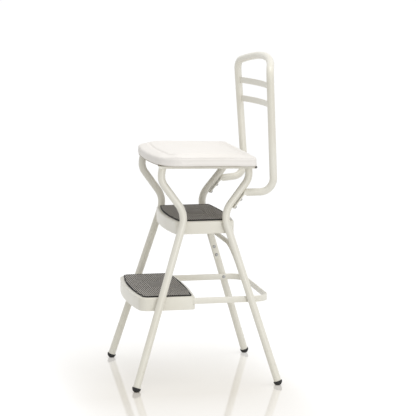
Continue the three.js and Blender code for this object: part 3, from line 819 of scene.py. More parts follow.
class Maker:
    """Turns points and faces into finished pieces that ride on a body."""

    def __init__(self, nodes: Mapping[str, bpy.types.Object]) -> None:
        """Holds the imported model's nodes."""
        self.nodes = nodes

    @staticmethod
    def mesh_object(
        name: str, points: Iterable[Vector], faces: Sequence[Sequence[int]]
    ) -> bpy.types.Object:
        """A mesh object in metres from points in millimetres, its skin facing outwards.

        Args:
            name: Name of the object and its mesh.
            points: Its points.
            faces: The points' numbers for each face.

        Returns:
            The object.
        """
        mesh = bpy.data.meshes.new(name)
        mesh.from_pydata([point * MM for point in points], [], faces)
        mesh.update()
        work = bmesh.new()
        work.from_mesh(mesh)
        volume = work.calc_volume(signed=True)
        work.free()
        if volume < 0:
            mesh.flip_normals()
        made = linked(name, mesh)
        Maker.smooth(made)
        return made

    @staticmethod
    def smooth(piece: bpy.types.Object) -> None:
        """Smooth faces with sharp edges kept.

        Args:
            piece: The object to smooth.
        """
        mesh = piece.data
        mesh.polygons.foreach_set("use_smooth", [True] * len(mesh.polygons))
        mesh.set_sharp_from_angle(angle=SMOOTH_ANGLE)
        mesh.update()

    def finished(
        self, piece: bpy.types.Object, finish: Finish, body: Body, replaced: Sequence[str]
    ) -> None:
        """Gives a piece its material, its body and the nodes that it stands for.

        Args:
            piece: The piece.
            finish: Its finish.
            body: The body that carries it.
            replaced: Names of the nodes that it stands for.
        """
        piece.data.materials.clear()
        piece.data.materials.append(finish.material())
        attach(piece, body.value)
        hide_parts(*replaced)
        log.info("%s: %d faces", piece.name, len(piece.data.polygons))

    def skin(self, name: str, rings: Rings, finish: Finish, node: str) -> None:
        """A finished piece of the frame from rings, in place of a node."""
        self.finished(self.mesh_object(name, *skinned(rings)), finish, Body.FRAME, [node])

    def pair(self, name: str, rings: Rings, finish: Finish) -> None:
        """A left piece and its mirror image, each in place of the node of its side."""
        for side, own in (("left", rings), ("right", [mirrored(ring) for ring in rings])):
            self.skin(f"{name}_shell_{side}", own, finish, f"{name}_{side}")

    def dress(self, finish: Finish, *names: str) -> None:
        """A better material on nodes that stay as packed.

        Args:
            finish: The better material's finish.
            names: The nodes' names.
        """
        for name in names:
            node = self.nodes[name]
            node.data.materials.clear()
            node.data.materials.append(finish.material())

    def dress_pairs(self, finish: Finish, *names: str) -> None:
        """The same for nodes that come left and right."""
        for name in names:
            self.dress(finish, f"{name}_left", f"{name}_right")


class GrowthTree:
    """A geometry tree with named inputs, and the object that it grows on."""

    def __init__(self, name: str, inputs: Mapping[str, object]) -> None:
        """Makes the tree's interface.

        Args:
            name: The tree's name.
            inputs: Values by input name: whole numbers, numbers and materials.
        """
        kinds = {int: "Int", float: "Float", bpy.types.Material: "Material"}
        self.name = name
        self.values = dict(inputs)
        self.tree = bpy.data.node_groups.new(name, "GeometryNodeTree")
        face = self.tree.interface
        face.new_socket("Geometry", in_out="INPUT", socket_type="NodeSocketGeometry")
        for key, value in inputs.items():
            face.new_socket(key, in_out="INPUT", socket_type=f"NodeSocket{kinds[type(value)]}")
        face.new_socket("Geometry", in_out="OUTPUT", socket_type="NodeSocketGeometry")
        self.bench = NodeBench(self.tree)
        self.entry = self.bench.node("NodeGroupInput")

    def value(self, name: str) -> Wire:
        """A named input's wire."""
        return self.entry.output(name)

    def ended(self, geometry: Wire) -> None:
        """Realizes the instances, sets the material and closes the tree.

        Args:
            geometry: What the tree has made.
        """
        real = self.bench.node("GeometryNodeRealizeInstances", None, {0: geometry})
        inputs = {0: real, "Material": self.value("Material")}
        dressed = self.bench.node("GeometryNodeSetMaterial", None, inputs)
        self.bench.node("NodeGroupOutput", None, {0: dressed})

    def grown(self, mesh: bpy.types.Mesh) -> bpy.types.Object:
        """Runs the tree on a mesh and returns the plain result.

        Args:
            mesh: The mesh that the tree starts from.

        Returns:
            The grown object.
        """
        holder = linked(f"{self.name}_holder", mesh)
        modifier = holder.modifiers.new(self.name, "NODES")
        modifier.node_group = self.tree
        for item in self.tree.interface.items_tree:
            if item.in_out == "INPUT" and item.name in self.values:
                modifier[item.identifier] = self.values[item.name]
        result = modified(holder)
        result.name = self.name
        bpy.data.objects.remove(holder)
        made = linked(self.name, result)
        Maker.smooth(made)
        return made


# The frame's shared places, in millimetres


@dataclass(frozen=True)
class LegPlan:
    """Corners of one leg's centre line on the +X side."""

    foot: Vector
    waist: Vector
    shoulder: Vector
    top: Vector

    @property
    def rise(self) -> Vector:
        """Direction of the lower leg, upwards."""
        return (self.waist - self.foot).normalized()

    @property
    def forward(self) -> Vector:
        """Normal, towards -Y, of the plane through the lower leg and its mirror image."""
        return ALONG_X.cross(self.rise).normalized()

    def at_height(self, height: float) -> Vector:
        """The lower leg's centre at a height."""
        return self.foot.lerp(self.waist, height / self.waist.z)

    def beside(self, height: float) -> Vector:
        """A place a little in front of the lower leg's centre, where the brace runs."""
        return self.at_height(height) + self.forward * BRACE_FORWARD


FRONT_LEG = LegPlan(
    foot=Vector((210.7, -189.5, 0)),
    waist=Vector((156, -49.7, 441.5)),
    shoulder=Vector((148, -112.4, 528.5)),
    top=Vector((146.7, -105.4, 572.5)),
)
REAR_LEG = LegPlan(
    foot=Vector((201.7, 184.4, 0)),
    waist=Vector((156, 47.9, 441.5)),
    shoulder=Vector((146.7, 116.6, 528.5)),
    top=Vector((146, 114.6, 572.5)),
)
TUBE_RADIUS = 9.5
BRACE_FORWARD = 2.0
LOOP_HEIGHT = 220.1


@dataclass(frozen=True)
class SeatPlane:
    """The sloped plane through the hinge axis in which seat and rails lie."""

    y: float = 131.6
    z: float = 558.5
    slope: float = math.radians(1.2)

    @property
    def hinge(self) -> Vector:
        """The hinge axis at the middle."""
        return Vector((0, self.y, self.z))

    @property
    def normal(self) -> Vector:
        """The plane's upward normal."""
        return Vector((0, math.sin(self.slope), math.cos(self.slope)))

    def matrix(self) -> Matrix:
        """From the seat plane to the row frame, in millimetres."""
        return Matrix.Translation(self.hinge) @ Matrix.Rotation(-self.slope, 4, "X")


SEAT_PLANE = SeatPlane()


@dataclass(frozen=True)
class Legs:
    """Four bent tubes with their foot caps."""

    sides: int = 40
    steps: int = 16
    bend_radii: tuple[float, float] = (60, 42)
    start: float = 8.0
    cap_radius: float = 11.4
    cap_centre: float = 10.4
    cap_rim: float = 11.6
    cap_steps: int = 14
    cap_sides: int = 56
    cap_tip: float = 0.3
    edge_steps: int = 5
    mouth_gap: float = 0.1
    mouth_depth: float = 1.0
    mouth_inset: float = 0.6

    def tube(self, plan: LegPlan) -> Rings:
        """Rings of one leg, cut along the rail above it.

        Args:
            plan: The leg's plan.

        Returns:
            The rings from foot to rail.
        """
        corners = [plan.foot + plan.rise * self.start, plan.waist, plan.shoulder, plan.top]
        stations = filleted(corners, self.bend_radii, self.steps)
        section = oval(TUBE_RADIUS, TUBE_RADIUS, 2, self.sides)
        rings = swept(stations, [section] * len(stations), ALONG_X)
        upward = (plan.top - plan.shoulder).normalized()
        level, normal = SEAT_PLANE.hinge, SEAT_PLANE.normal
        climb = upward.dot(normal)
        rings[-1] = [point + upward * ((level - point).dot(normal) / climb) for point in rings[-1]]
        return rings

    def cap(self, plan: LegPlan) -> Rings:
        """Rings of one foot cap, pressed flat where it stands.

        Args:
            plan: The leg's plan.

        Returns:
            The rings from tip to mouth.
        """
        profile = []
        for step in range(self.cap_steps + 1):
            angle = QUARTER * step / self.cap_steps
            radius = max(self.cap_radius * math.sin(angle), self.cap_tip)
            profile.append((radius, self.cap_centre - self.cap_radius * math.cos(angle)))
        round_edge = self.cap_rim - self.cap_centre
        for step in range(1, self.edge_steps + 1):
            angle = QUARTER * step / self.edge_steps
            radius = self.cap_radius - round_edge * (1 - math.cos(angle))
            profile.append((radius, self.cap_centre + round_edge * math.sin(angle)))
        profile.append((TUBE_RADIUS + self.mouth_gap, self.cap_rim))
        profile.append((TUBE_RADIUS - self.mouth_inset, self.cap_rim - self.mouth_depth))
        rings = lathed(profile, plan.foot, plan.rise, self.cap_sides)
        return [[Vector((p.x, p.y, max(p.z, 0.0))) for p in ring] for ring in rings]

    def build(self, maker: Maker) -> None:
        """Makes the legs and caps on both sides.

        Args:
            maker: Makes and dresses the pieces.
        """
        for name, plan in (("front", FRONT_LEG), ("rear", REAR_LEG)):
            maker.pair(f"{name}_leg", self.tube(plan), ENAMEL)
            maker.pair(f"{name}_foot_cap", self.cap(plan), FOOT_RUBBER)


@dataclass(frozen=True)
class BackRest:
    """The bent back tube with flattened ends, and its two bowed slats."""

    top_half: float = 193.5
    top_y: float = 159.1
    top_z: float = 805
    low_half: float = 172
    low_y: float = 175.6
    low_z: float = 496.5
    bow: float = 29
    crown: float = 25
    bend_radii: tuple[float, float, float] = (16, 36, 27)
    steps: int = 16
    sides: int = 40
    bar_points: int = 14
    bar_share: float = 0.72
    plate_start: float = 26
    plate_turn: float = 76
    plate_width: float = 20
    plate_thickness: float = 3.2
    plate_stand_off: float = 1.2
    plate_round: float = 9
    plate_power: float = 7
    tip_shares: tuple[float, ...] = (0.06, 0.2, 0.45, 1.0)
    tip_widths: tuple[float, ...] = (0.35, 0.55, 0.8, 0.95, 1.0)
    slat_heights: tuple[float, float] = (754.4, 705.4)
    slat_height: float = 16
    slat_thickness: float = 2.5
    slat_edge: float = 0.9
    slat_bow: float = 31
    slat_sink: float = 1.5
    slat_points: int = 40

    @property
    def incline(self) -> Vector:
        """Direction of the rear leg's upper incline."""
        return (REAR_LEG.shoulder - REAR_LEG.waist).normalized()

    @property
    def incline_rear(self) -> Vector:
        """Rearward normal of that incline."""
        normal = self.incline.cross(ALONG_X).normalized()
        return normal if normal.y > 0 else -normal

    def on_incline(self, along: float, out: float) -> Vector:
        """A point beside the incline's centre line."""
        return REAR_LEG.waist + self.incline * along + self.incline_rear * out

    def half_path(self) -> Path:
        """Stations from the flattened end to the middle of the top bar.

        Returns:
            The stations on the +X side.
        """
        middle = TUBE_RADIUS + self.plate_stand_off + self.plate_thickness / 2
        bar = []
        for index in range(self.bar_points + 1):
            x = self.top_half * self.bar_share * (1 - index / self.bar_points)
            rise = 1 - (x / self.top_half) ** 2
            bar.append(Vector((x, self.top_y + self.bow * rise, self.top_z + self.crown * rise)))
        corners = [
            self.on_incline(self.plate_start, middle),
            self.on_incline(self.plate_turn, middle),
            Vector((self.low_half, self.low_y, self.low_z)),
            Vector((self.top_half, self.top_y, self.top_z)),
            bar[0],
        ]
        tip, *path = filleted(corners, self.bend_radii, self.steps)
        leading = [tip + self.incline * (self.plate_round * share) for share in self.tip_shares]
        return [tip, *leading, *path, *bar[1:]]

    def half_sections(self, count: int) -> list[Section]:
        """Sections for the stations: flat at the end, round from the first bend on.

        Args:
            count: Number of stations.

        Returns:
            One section for each station.
        """
        tips = len(self.tip_widths)
        flat = self.plate_thickness / 2
        sections = []
        for index in range(count):
            width = self.plate_width / 2 * (self.tip_widths[index] if index < tips else 1.0)
            share = eased((index - tips) / (self.steps - 2))
            half_width = width + (TUBE_RADIUS - width) * share
            half_height = flat + (TUBE_RADIUS - flat) * share
            power = self.plate_power - (self.plate_power - 2) * share
            sections.append(oval(half_width, half_height, power, self.sides))
        return sections

    def tube(self) -> Rings:
        """Rings of the whole back tube.

        Returns:
            The rings from one flattened end to the other.
        """
        path = self.half_path()
        half = swept(path, self.half_sections(len(path)), ALONG_X)
        half[-1] = [Vector((0, point.y, point.z)) for point in half[-1]]
        return half + [mirrored(ring) for ring in reversed(half[:-1])]

    def slat(self, height: float) -> Rings:
        """Rings of one slat, whose ends are let into the tubes' inner faces.

        Args:
            height: The slat's height above the floor.

        Returns:
            The rings from side to side.
        """
        share = (height - self.low_z) / (self.top_z - self.low_z)
        half = self.low_half + (self.top_half - self.low_half) * share
        tube_y = self.low_y + (self.top_y - self.low_y) * share
        end = half - TUBE_RADIUS + self.slat_sink
        path = []
        for index in range(self.slat_points + 1):
            x = end * (1 - 2 * index / self.slat_points)
            path.append(Vector((x, tube_y + self.slat_bow * (1 - (x / half) ** 2), height)))
        section = bar_section(self.slat_thickness, self.slat_height, self.slat_edge)
        return swept(path, [section] * len(path), Vector((0, 1, 0)))

    def build(self, maker: Maker) -> None:
        """Makes the tube and the slats.

        Args:
            maker: Makes and dresses the pieces.
        """
        maker.skin("back_tube", self.tube(), ENAMEL, "back_frame")
        for name, height in zip(("upper", "lower"), self.slat_heights):
            maker.skin(f"back_slat_{name}_strip", self.slat(height), ENAMEL, f"back_slat_{name}")


@dataclass(frozen=True)
class Step:
    """One pressed step pan with its ribbed mat."""

    name: str
    outline: BowedOutline
    top: float
    bottom: float
    plaque: tuple[float, float, float, float]
    notch: tuple[float, float, float, float] | None = None
    notch_reach: float = 6.0
    wall: float = 1.2
    hem: float = 0.4
    lip: float = 4.0
    lip_steps: int = 7
    mat_gap: float = 0.1
    mat_lift: float = 0.3
    mat_thickness: float = 3.0
    mat_edge: float = 0.7
    mat_edge_share: float = 0.3
    mat_side_border: float = 7.2
    mat_front_border: float = 10.0
    mat_rear_border: float = 9.0
    mat_bow_share: float = 0.9
    mat_front_corner_share: float = 0.6
    mat_rear_corner_share: float = 0.3
    rim: float = 3.4
    floor_margin: float = 1.0
    rib_pitch: float = 5.0
    rib_width: float = 2.8
    rib_height: float = 1.3
    rib_overlap: float = 0.4
    rib_sides: int = 12
    # How the rib sides and the plaque grow paler upwards: wear, and a painted highlight on up-facing
    # tops.
    wear_and_highlight_power: float = 1.2
    plaque_wear_and_highlight: float = 0.5
    plaque_power: float = 5
    plaque_points: int = 64
    plaque_sink: float = 0.2
    plaque_edge: tuple[tuple[float, float], ...] = ((0.0, 0.0), (0.2, 0.35), (0.8, 0.6))

    @property
    def high(self) -> float:
        """Height of the mat's rim."""
        return self.top + self.mat_lift + self.mat_thickness

    def mat_outline(self) -> BowedOutline:
        """The mat's outline inside the pan's.

        Returns:
            The smaller outline.
        """
        return BowedOutline(
            self.outline.half_width - self.mat_side_border,
            self.outline.front + self.mat_front_border,
            self.outline.rear - self.mat_rear_border,
            self.outline.front_bow * self.mat_bow_share,
            self.outline.rear_bow * self.mat_bow_share,
            self.outline.front_corner * self.mat_front_corner_share,
            self.outline.rear_corner * self.mat_rear_corner_share,
        )

    def pan(self) -> Rings:
        """Rings of the pan, from its underside over its skirt to its top.

        Returns:
            The rings.
        """

        def lip_rings(radius: float, inset: float, top: float) -> Rings:
            """A quarter round from the skirt to the top.

            Args:
                radius: The round's radius.
                inset: How far inside the outline it starts.
                top: Height of the top.

            Returns:
                The round's rings, upwards.
            """
            rings = []
            for step in range(self.lip_steps + 1):
                angle = QUARTER * step / self.lip_steps
                moved = inset + radius * (1 - math.cos(angle))
                rings.append(self.outline.ring(moved, top - radius * (1 - math.sin(angle))))
            return rings

        inside = lip_rings(self.lip - self.wall, self.wall, self.top - self.wall)
        outside = lip_rings(self.lip, 0.0, self.top)
        return [
            *reversed(inside),
            self.outline.ring(self.wall, self.bottom + self.hem),
            self.outline.ring(self.wall - self.hem, self.bottom),
            self.outline.ring(self.hem, self.bottom),
            self.outline.ring(0.0, self.bottom + self.hem),
            *outside,
        ]

    def slab(self) -> Rings:
        """Rings of the mat's slab with its raised rim.

        Returns:
            The rings, from the slab's edge inwards.
        """
        edge, soft = self.mat_edge, self.mat_edge * self.mat_edge_share
        floor = self.high - self.rib_height
        places = (
            (0.0, self.top + self.mat_gap),
            (0.0, self.high - edge),
            (soft, self.high - soft),
            (edge, self.high),
            (self.rim - edge, self.high),
            (self.rim, floor),
            (self.rim + self.floor_margin, floor),
        )
        return [self.mat_outline().ring(inset, z) for inset, z in places]

    def rib_inputs(self) -> dict[str, object]:
        """Named inputs of the ribs' tree: lengths in metres, the rib count and the material.

        Returns:
            Values by input name.
        """
        outline = self.mat_outline()
        front, front_corner, rear_corner, rear = outline.arcs()[:4]
        count = int((outline.rear - outline.front - 2 * self.rim) / self.rib_pitch)
        lengths = {
            "Pitch": self.rib_pitch,
            "Start": (outline.front + outline.rear - (count - 1) * self.rib_pitch) / 2,
            "Floor": self.high - self.rib_height,
            "Rib width": self.rib_width,
            "Rib height": self.rib_height,
            "Margin": self.rim - self.rib_overlap,
        }
        arcs = {"Front": front, "Rear": rear, "Front corner": front_corner, "Rear corner": rear_corner}
        for name, (x, y, radius, *_) in arcs.items():
            lengths |= {f"{name} x": x, f"{name} y": y, f"{name} radius": radius}
        metres = {name: length * MM for name, length in lengths.items()}
        return {"Count": count, **metres, "Material": MAT_RUBBER.material()}

    def ribs(self) -> bpy.types.Object:
        """The mat's ribs, each as long as the outline is wide at its place.

        Returns:
            All ribs as one object.
        """
        tree = GrowthTree(f"{self.name}_ribs", self.rib_inputs())
        bench, value = tree.bench, tree.value
        begin = bench.triple(Y=value("Start"), Z=value("Floor"))
        row = {"Count": value("Count"), "Start Location": begin, "Offset": bench.triple(Y=value("Pitch"))}
        line = bench.node("GeometryNodeMeshLine", {"mode": "OFFSET"}, row)
        place = bench.node("GeometryNodeInputPosition")
        y = bench.axis("Y", place)

        def chord(name: str, over: Wire) -> Wire:
            """Half width allowed by an arc, where over is the way from its centre along Y."""
            radius = value(f"{name} radius")
            return (radius * radius - over * over).root() + value(f"{name} x")

        front = chord("Front", y - value("Front y"))
        rear = chord("Rear", y - value("Rear y"))
        front_corner = chord("Front corner", (value("Front corner y") - y).most(0.0))
        rear_corner = chord("Rear corner", (y - value("Rear corner y")).most(0.0))
        half = front.least(rear).least(front_corner.least(rear_corner)) - value("Margin")
        round_rod = {"Vertices": self.rib_sides, "Radius": 1.0, "Depth": 2.0}
        rod = bench.node("GeometryNodeMeshCylinder", {"fill_type": "NGON"}, round_rod)
        lying = bench.node("GeometryNodeTransform", None, {0: rod, "Rotation": (0.0, QUARTER, 0.0)})
        size = bench.triple(X=half, Y=value("Rib width") * 0.5, Z=value("Rib height"))
        grid = {"Points": line, "Instance": lying, "Scale": size}
        ribs = bench.node("GeometryNodeInstanceOnPoints", None, grid)
        real = bench.node("GeometryNodeRealizeInstances", None, {0: ribs})
        # Paler towards each rib's top: wear, and a painted highlight.
        rise = ((bench.axis("Z", place) - value("Floor")) / value("Rib height")).held()
        rib_wear_and_highlight = rise ** self.wear_and_highlight_power * (1 - GROOVE_LEVEL) + GROOVE_LEVEL
        kind = {"data_type": "FLOAT", "domain": "POINT"}
        stored = {0: real, "Name": "wear", "Value": rib_wear_and_highlight}
        tree.ended(bench.node("GeometryNodeStoreNamedAttribute", kind, stored))
        return tree.grown(bpy.data.meshes.new(f"{self.name}_rib_seed"))

    def plaque_rings(self) -> Rings:
        """Rings of the plain raised plaque in the mat's middle.

        Returns:
            The rings, upwards.
        """
        x, y, width, depth = self.plaque
        rings = []
        for inset, rise in ((0.0, -self.rib_height - self.plaque_sink), *self.plaque_edge):
            half_sizes = width / 2 - inset, depth / 2 - inset
            section = oval(*half_sizes, self.plaque_power, self.plaque_points)
            rings.append([Vector((x + u, y + v, self.high + rise)) for u, v in section])
        return rings

    def mat(self, maker: Maker) -> None:
        """Makes the mat as one piece: slab, ribs and plaque.

        Args:
            maker: Makes and dresses the pieces.
        """
        slab = maker.mesh_object(f"{self.name}_slab", *skinned(self.slab()))
        plaque = maker.mesh_object(f"{self.name}_plaque", *skinned(self.plaque_rings()))
        # Slab sides stay the rubber's own black; groove floors and the plaque get paler levels, partly a
        # painted highlight.
        floor_points = 2 * len(self.mat_outline().ring(0.0, 0.0))
        bare = len(slab.data.vertices) - floor_points
        slab_wear_and_highlight = [0.0] * bare + [GROOVE_LEVEL] * floor_points
        plaque_wear_and_highlight = [self.plaque_wear_and_highlight] * len(plaque.data.vertices)
        for part, wear in ((slab, slab_wear_and_highlight), (plaque, plaque_wear_and_highlight)):
            part.data.attributes.new("wear", "FLOAT", "POINT").data.foreach_set("value", wear)
        joined = joined_objects(f"{self.name}_ribbed_mat", [slab, plaque, self.ribs()])
        maker.finished(joined, MAT_RUBBER, Body.FRAME, [f"{self.name}_mat"])

    def cut_notches(self, pan: bpy.types.Object) -> None:
        """Opens the rear skirt where the rail loop leaves the pan.

        Args:
            pan: The pan, which is changed.
        """
        inner, outer, low, high = self.notch
        front = self.outline.rear - 2 * self.outline.rear_corner
        rear = self.outline.rear + self.notch_reach
        box = ((3, 2, 1, 0), (4, 5, 6, 7), (0, 1, 5, 4), (1, 2, 6, 5), (2, 3, 7, 6), (3, 0, 4, 7))
        points, faces = [], []
        for side in (1, -1):
            faces += [tuple(len(points) + index for index in face) for face in box]
            for z in (low, high):
                for x, y in ((inner, front), (outer, front), (outer, rear), (inner, rear)):
                    points.append(Vector((side * x, y, z)))
        cutter = Maker.mesh_object(f"{self.name}_notch_cutter", points, faces)
        turn_outwards(cutter.data)
        cut = pan.modifiers.new("cut", "BOOLEAN")
        cut.operation, cut.solver, cut.object = "DIFFERENCE", "EXACT", cutter
        settle(pan)
        bpy.data.objects.remove(cutter)
        Maker.smooth(pan)

    def build(self, maker: Maker) -> None:
        """Makes the pan and the mat.

        Args:
            maker: Makes and dresses the pieces.
        """
        pan = maker.mesh_object(f"{self.name}_pressed_pan", *skinned(self.pan()))
        if self.notch:
            self.cut_notches(pan)
        maker.finished(pan, ENAMEL, Body.FRAME, [f"{self.name}_pan"])
        self.mat(maker)


def turn_outwards(mesh: bpy.types.Mesh) -> None:
    """Turns every face of a mesh outwards.

    Args:
        mesh: The mesh, which is changed.
    """
    work = bmesh.new()
    work.from_mesh(mesh)
    bmesh.ops.recalc_face_normals(work, faces=work.faces)
    work.to_mesh(mesh)
    work.free()


@dataclass(frozen=True)
class Straps:
    """The rail loop round the rear legs, and the brace between them."""

    thickness: float = 3
    edge: float = 0.7
    steps: int = 18
    loop_width: float = 16
    loop_half: float = 168.2
    loop_rear: float = 168.1
    loop_front: float = -138.9
    loop_radius: float = 38
    brace_width: float = 13
    brace_heights: tuple[float, float] = (273.5, 359.5)
    brace_radius: float = 60
    stand_off: float = 0.1

    def strap(self, half: Sequence[Vector], radius: float, width: float) -> Rings:
        """A strap on edge along a rounded path, from its corners on the +X side.

        Args:
            half: Corners from the strap's end to its middle.
            radius: Radius of its bends.
            width: Its height, on edge.

        Returns:
            The strap's rings.
        """
        corners = [*half, *mirrored(reversed(half))]
        stations = filleted(corners, [radius, radius], self.steps)
        section = bar_section(self.thickness, width, self.edge)
        return swept(stations, [section] * len(stations), ALONG_X)

    def loop(self) -> Rings:
        """Rings of the rail loop.

        Returns:
            The rings from one end to the other.
        """
        half = self.loop_half - self.thickness / 2
        rear = self.loop_rear - self.thickness / 2
        corners = [Vector((half, y, LOOP_HEIGHT)) for y in (self.loop_front, rear)]
        return self.strap(corners, self.loop_radius, self.loop_width)

    def brace(self) -> Rings:
        """Rings of the brace, a little in front of the rear lower legs' plane.

        Returns:
            The rings from one end to the other.
        """
        rise = REAR_LEG.rise
        clear = (TUBE_RADIUS + self.stand_off + self.thickness / 2) / math.hypot(rise.y, rise.z)
        corners = [REAR_LEG.beside(height) - ALONG_X * clear for height in self.brace_heights]
        return self.strap(corners, self.brace_radius, self.brace_width)

    def build(self, maker: Maker) -> None:
        """Makes both straps."""
        maker.skin("rail_loop_bar", self.loop(), ENAMEL, "step_rail_loop")
        maker.skin("brace_bar", self.brace(), ENAMEL, "step_brace")


@dataclass(frozen=True)
class Head:
    """A fastener's head: where its underside sits, which way it faces, and its radius and height."""

    place: Vector
    aim: Vector
    size: tuple[float, float]


@dataclass(frozen=True)
class Fasteners:
    """Domed heads with cross recesses, one for every screw and bolt of the frame."""

    screw: tuple[float, float] = (4.4, 2.6)
    bolt: tuple[float, float] = (4.9, 5.0)
    upper_height: float = 405.5
    upper_skirt_inside: float = 145.0
    loop_inside: float = 164.9
    brace_heights: tuple[float, float] = (284.1, 306.9)
    brace_out: float = 12.8
    bolt_places: tuple[float, float] = (31.7, 55.7)
    bolt_out: float = 14.2
    segments: int = 24
    dome_rings: int = 12
    recess: float = 0.62
    recess_width: float = 0.2
    recess_depth: float = 0.6
    nodes: tuple[str, ...] = (
        "upper_step_front_screw",
        "upper_step_rear_screw",
        "lower_step_front_screw",
        "rail_loop_screw",
        "brace_screw_lower",
        "brace_screw_upper",
        "back_bolt_lower",
        "back_bolt_upper",
    )

    def heads(self, back: BackRest) -> list[Head]:
        """Every head on the +X side.

        Args:
            back: The back, which has the bolts.

        Returns:
            The heads.
        """
        made = []
        for height, x in ((self.upper_height, self.upper_skirt_inside), (LOOP_HEIGHT, self.loop_inside)):
            for plan in (FRONT_LEG, REAR_LEG):
                place = Vector((x, plan.at_height(height).y, height))
                made.append(Head(place, -ALONG_X, self.screw))
        inward = REAR_LEG.forward.cross(REAR_LEG.rise).normalized()
        inward = inward if inward.x < 0 else -inward
        for height in self.brace_heights:
            made.append(Head(REAR_LEG.beside(height) + inward * self.brace_out, inward, self.screw))
        for along in self.bolt_places:
            made.append(Head(back.on_incline(along, self.bolt_out), back.incline_rear, self.bolt))
        return made

    def seeds(self, heads: Sequence[Head]) -> bpy.types.Mesh:
        """One point for each head, left and right, with its aim and size.

        Args:
            heads: The heads on the +X side.

        Returns:
            A mesh of points.
        """
        places, aims, sizes = [], [], []
        for head in heads:
            radius, height = head.size
            for side in (1, -1):
                places.append(Vector((side * head.place.x, head.place.y, head.place.z)) * MM)
                aims += [side * head.aim.x, head.aim.y, head.aim.z]
                sizes += [radius * MM, radius * MM, height * MM]
        mesh = bpy.data.meshes.new("fastener_seeds")
        mesh.from_pydata(places, [], [])
        for name, values in (("aim", aims), ("size", sizes)):
            layer = mesh.attributes.new(name, "FLOAT_VECTOR", "POINT")
            layer.data.foreach_set("vector", values)
        return mesh

    def build(self, maker: Maker, back: BackRest) -> None:
        """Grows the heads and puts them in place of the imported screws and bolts.

        Args:
            maker: Makes and dresses the pieces.
            back: The back, which has the bolts.
        """
        inputs = {"Segments": self.segments, "Recess": self.recess, "Material": ZINC.material()}
        tree = GrowthTree("fastener_heads", inputs)
        bench, value = tree.bench, tree.value

        def moved(shape: Wire, z: float) -> Wire:
            """A shape moved along Z."""
            return bench.node("GeometryNodeTransform", None, {0: shape, "Translation": (0.0, 0.0, z)})

        def stored(name: str) -> Wire:
            """A vector that the seeds carry."""
            kind = {"data_type": "FLOAT_VECTOR"}
            return bench.node("GeometryNodeInputNamedAttribute", kind, {"Name": name})

        round_ball = {"Segments": value("Segments"), "Rings": self.dome_rings, "Radius": 1.0}
        shape = bench.node("GeometryNodeMeshUVSphere", None, round_ball)
        block = bench.node("GeometryNodeMeshCube", None, {"Size": (3.0, 3.0, 2.0)})
        tools = [moved(block, -1.0)]
        length = value("Recess") * 2.0
        for x, y in ((length, self.recess_width), (self.recess_width, length)):
            slot = bench.triple(X=x, Y=y, Z=self.recess_depth)
            tools.append(moved(bench.node("GeometryNodeMeshCube", None, {"Size": slot}), 1.0))
        less = {"operation": "DIFFERENCE", "solver": "EXACT"}
        for tool in tools:
            shape = bench.node("GeometryNodeMeshBoolean", less, {0: shape, 1: tool})
        aim = {"Vector": stored("aim")}
        turn = bench.node("FunctionNodeAlignRotationToVector", {"axis": "Z"}, aim)
        placed = {"Points": tree.entry, "Instance": shape, "Rotation": turn, "Scale": stored("size")}
        tree.ended(bench.node("GeometryNodeInstanceOnPoints", None, placed))
        made = tree.grown(self.seeds(self.heads(back)))
        replaced = [f"{name}_{side}" for name in self.nodes for side in ("left", "right")]
        maker.finished(made, ZINC, Body.FRAME, replaced)


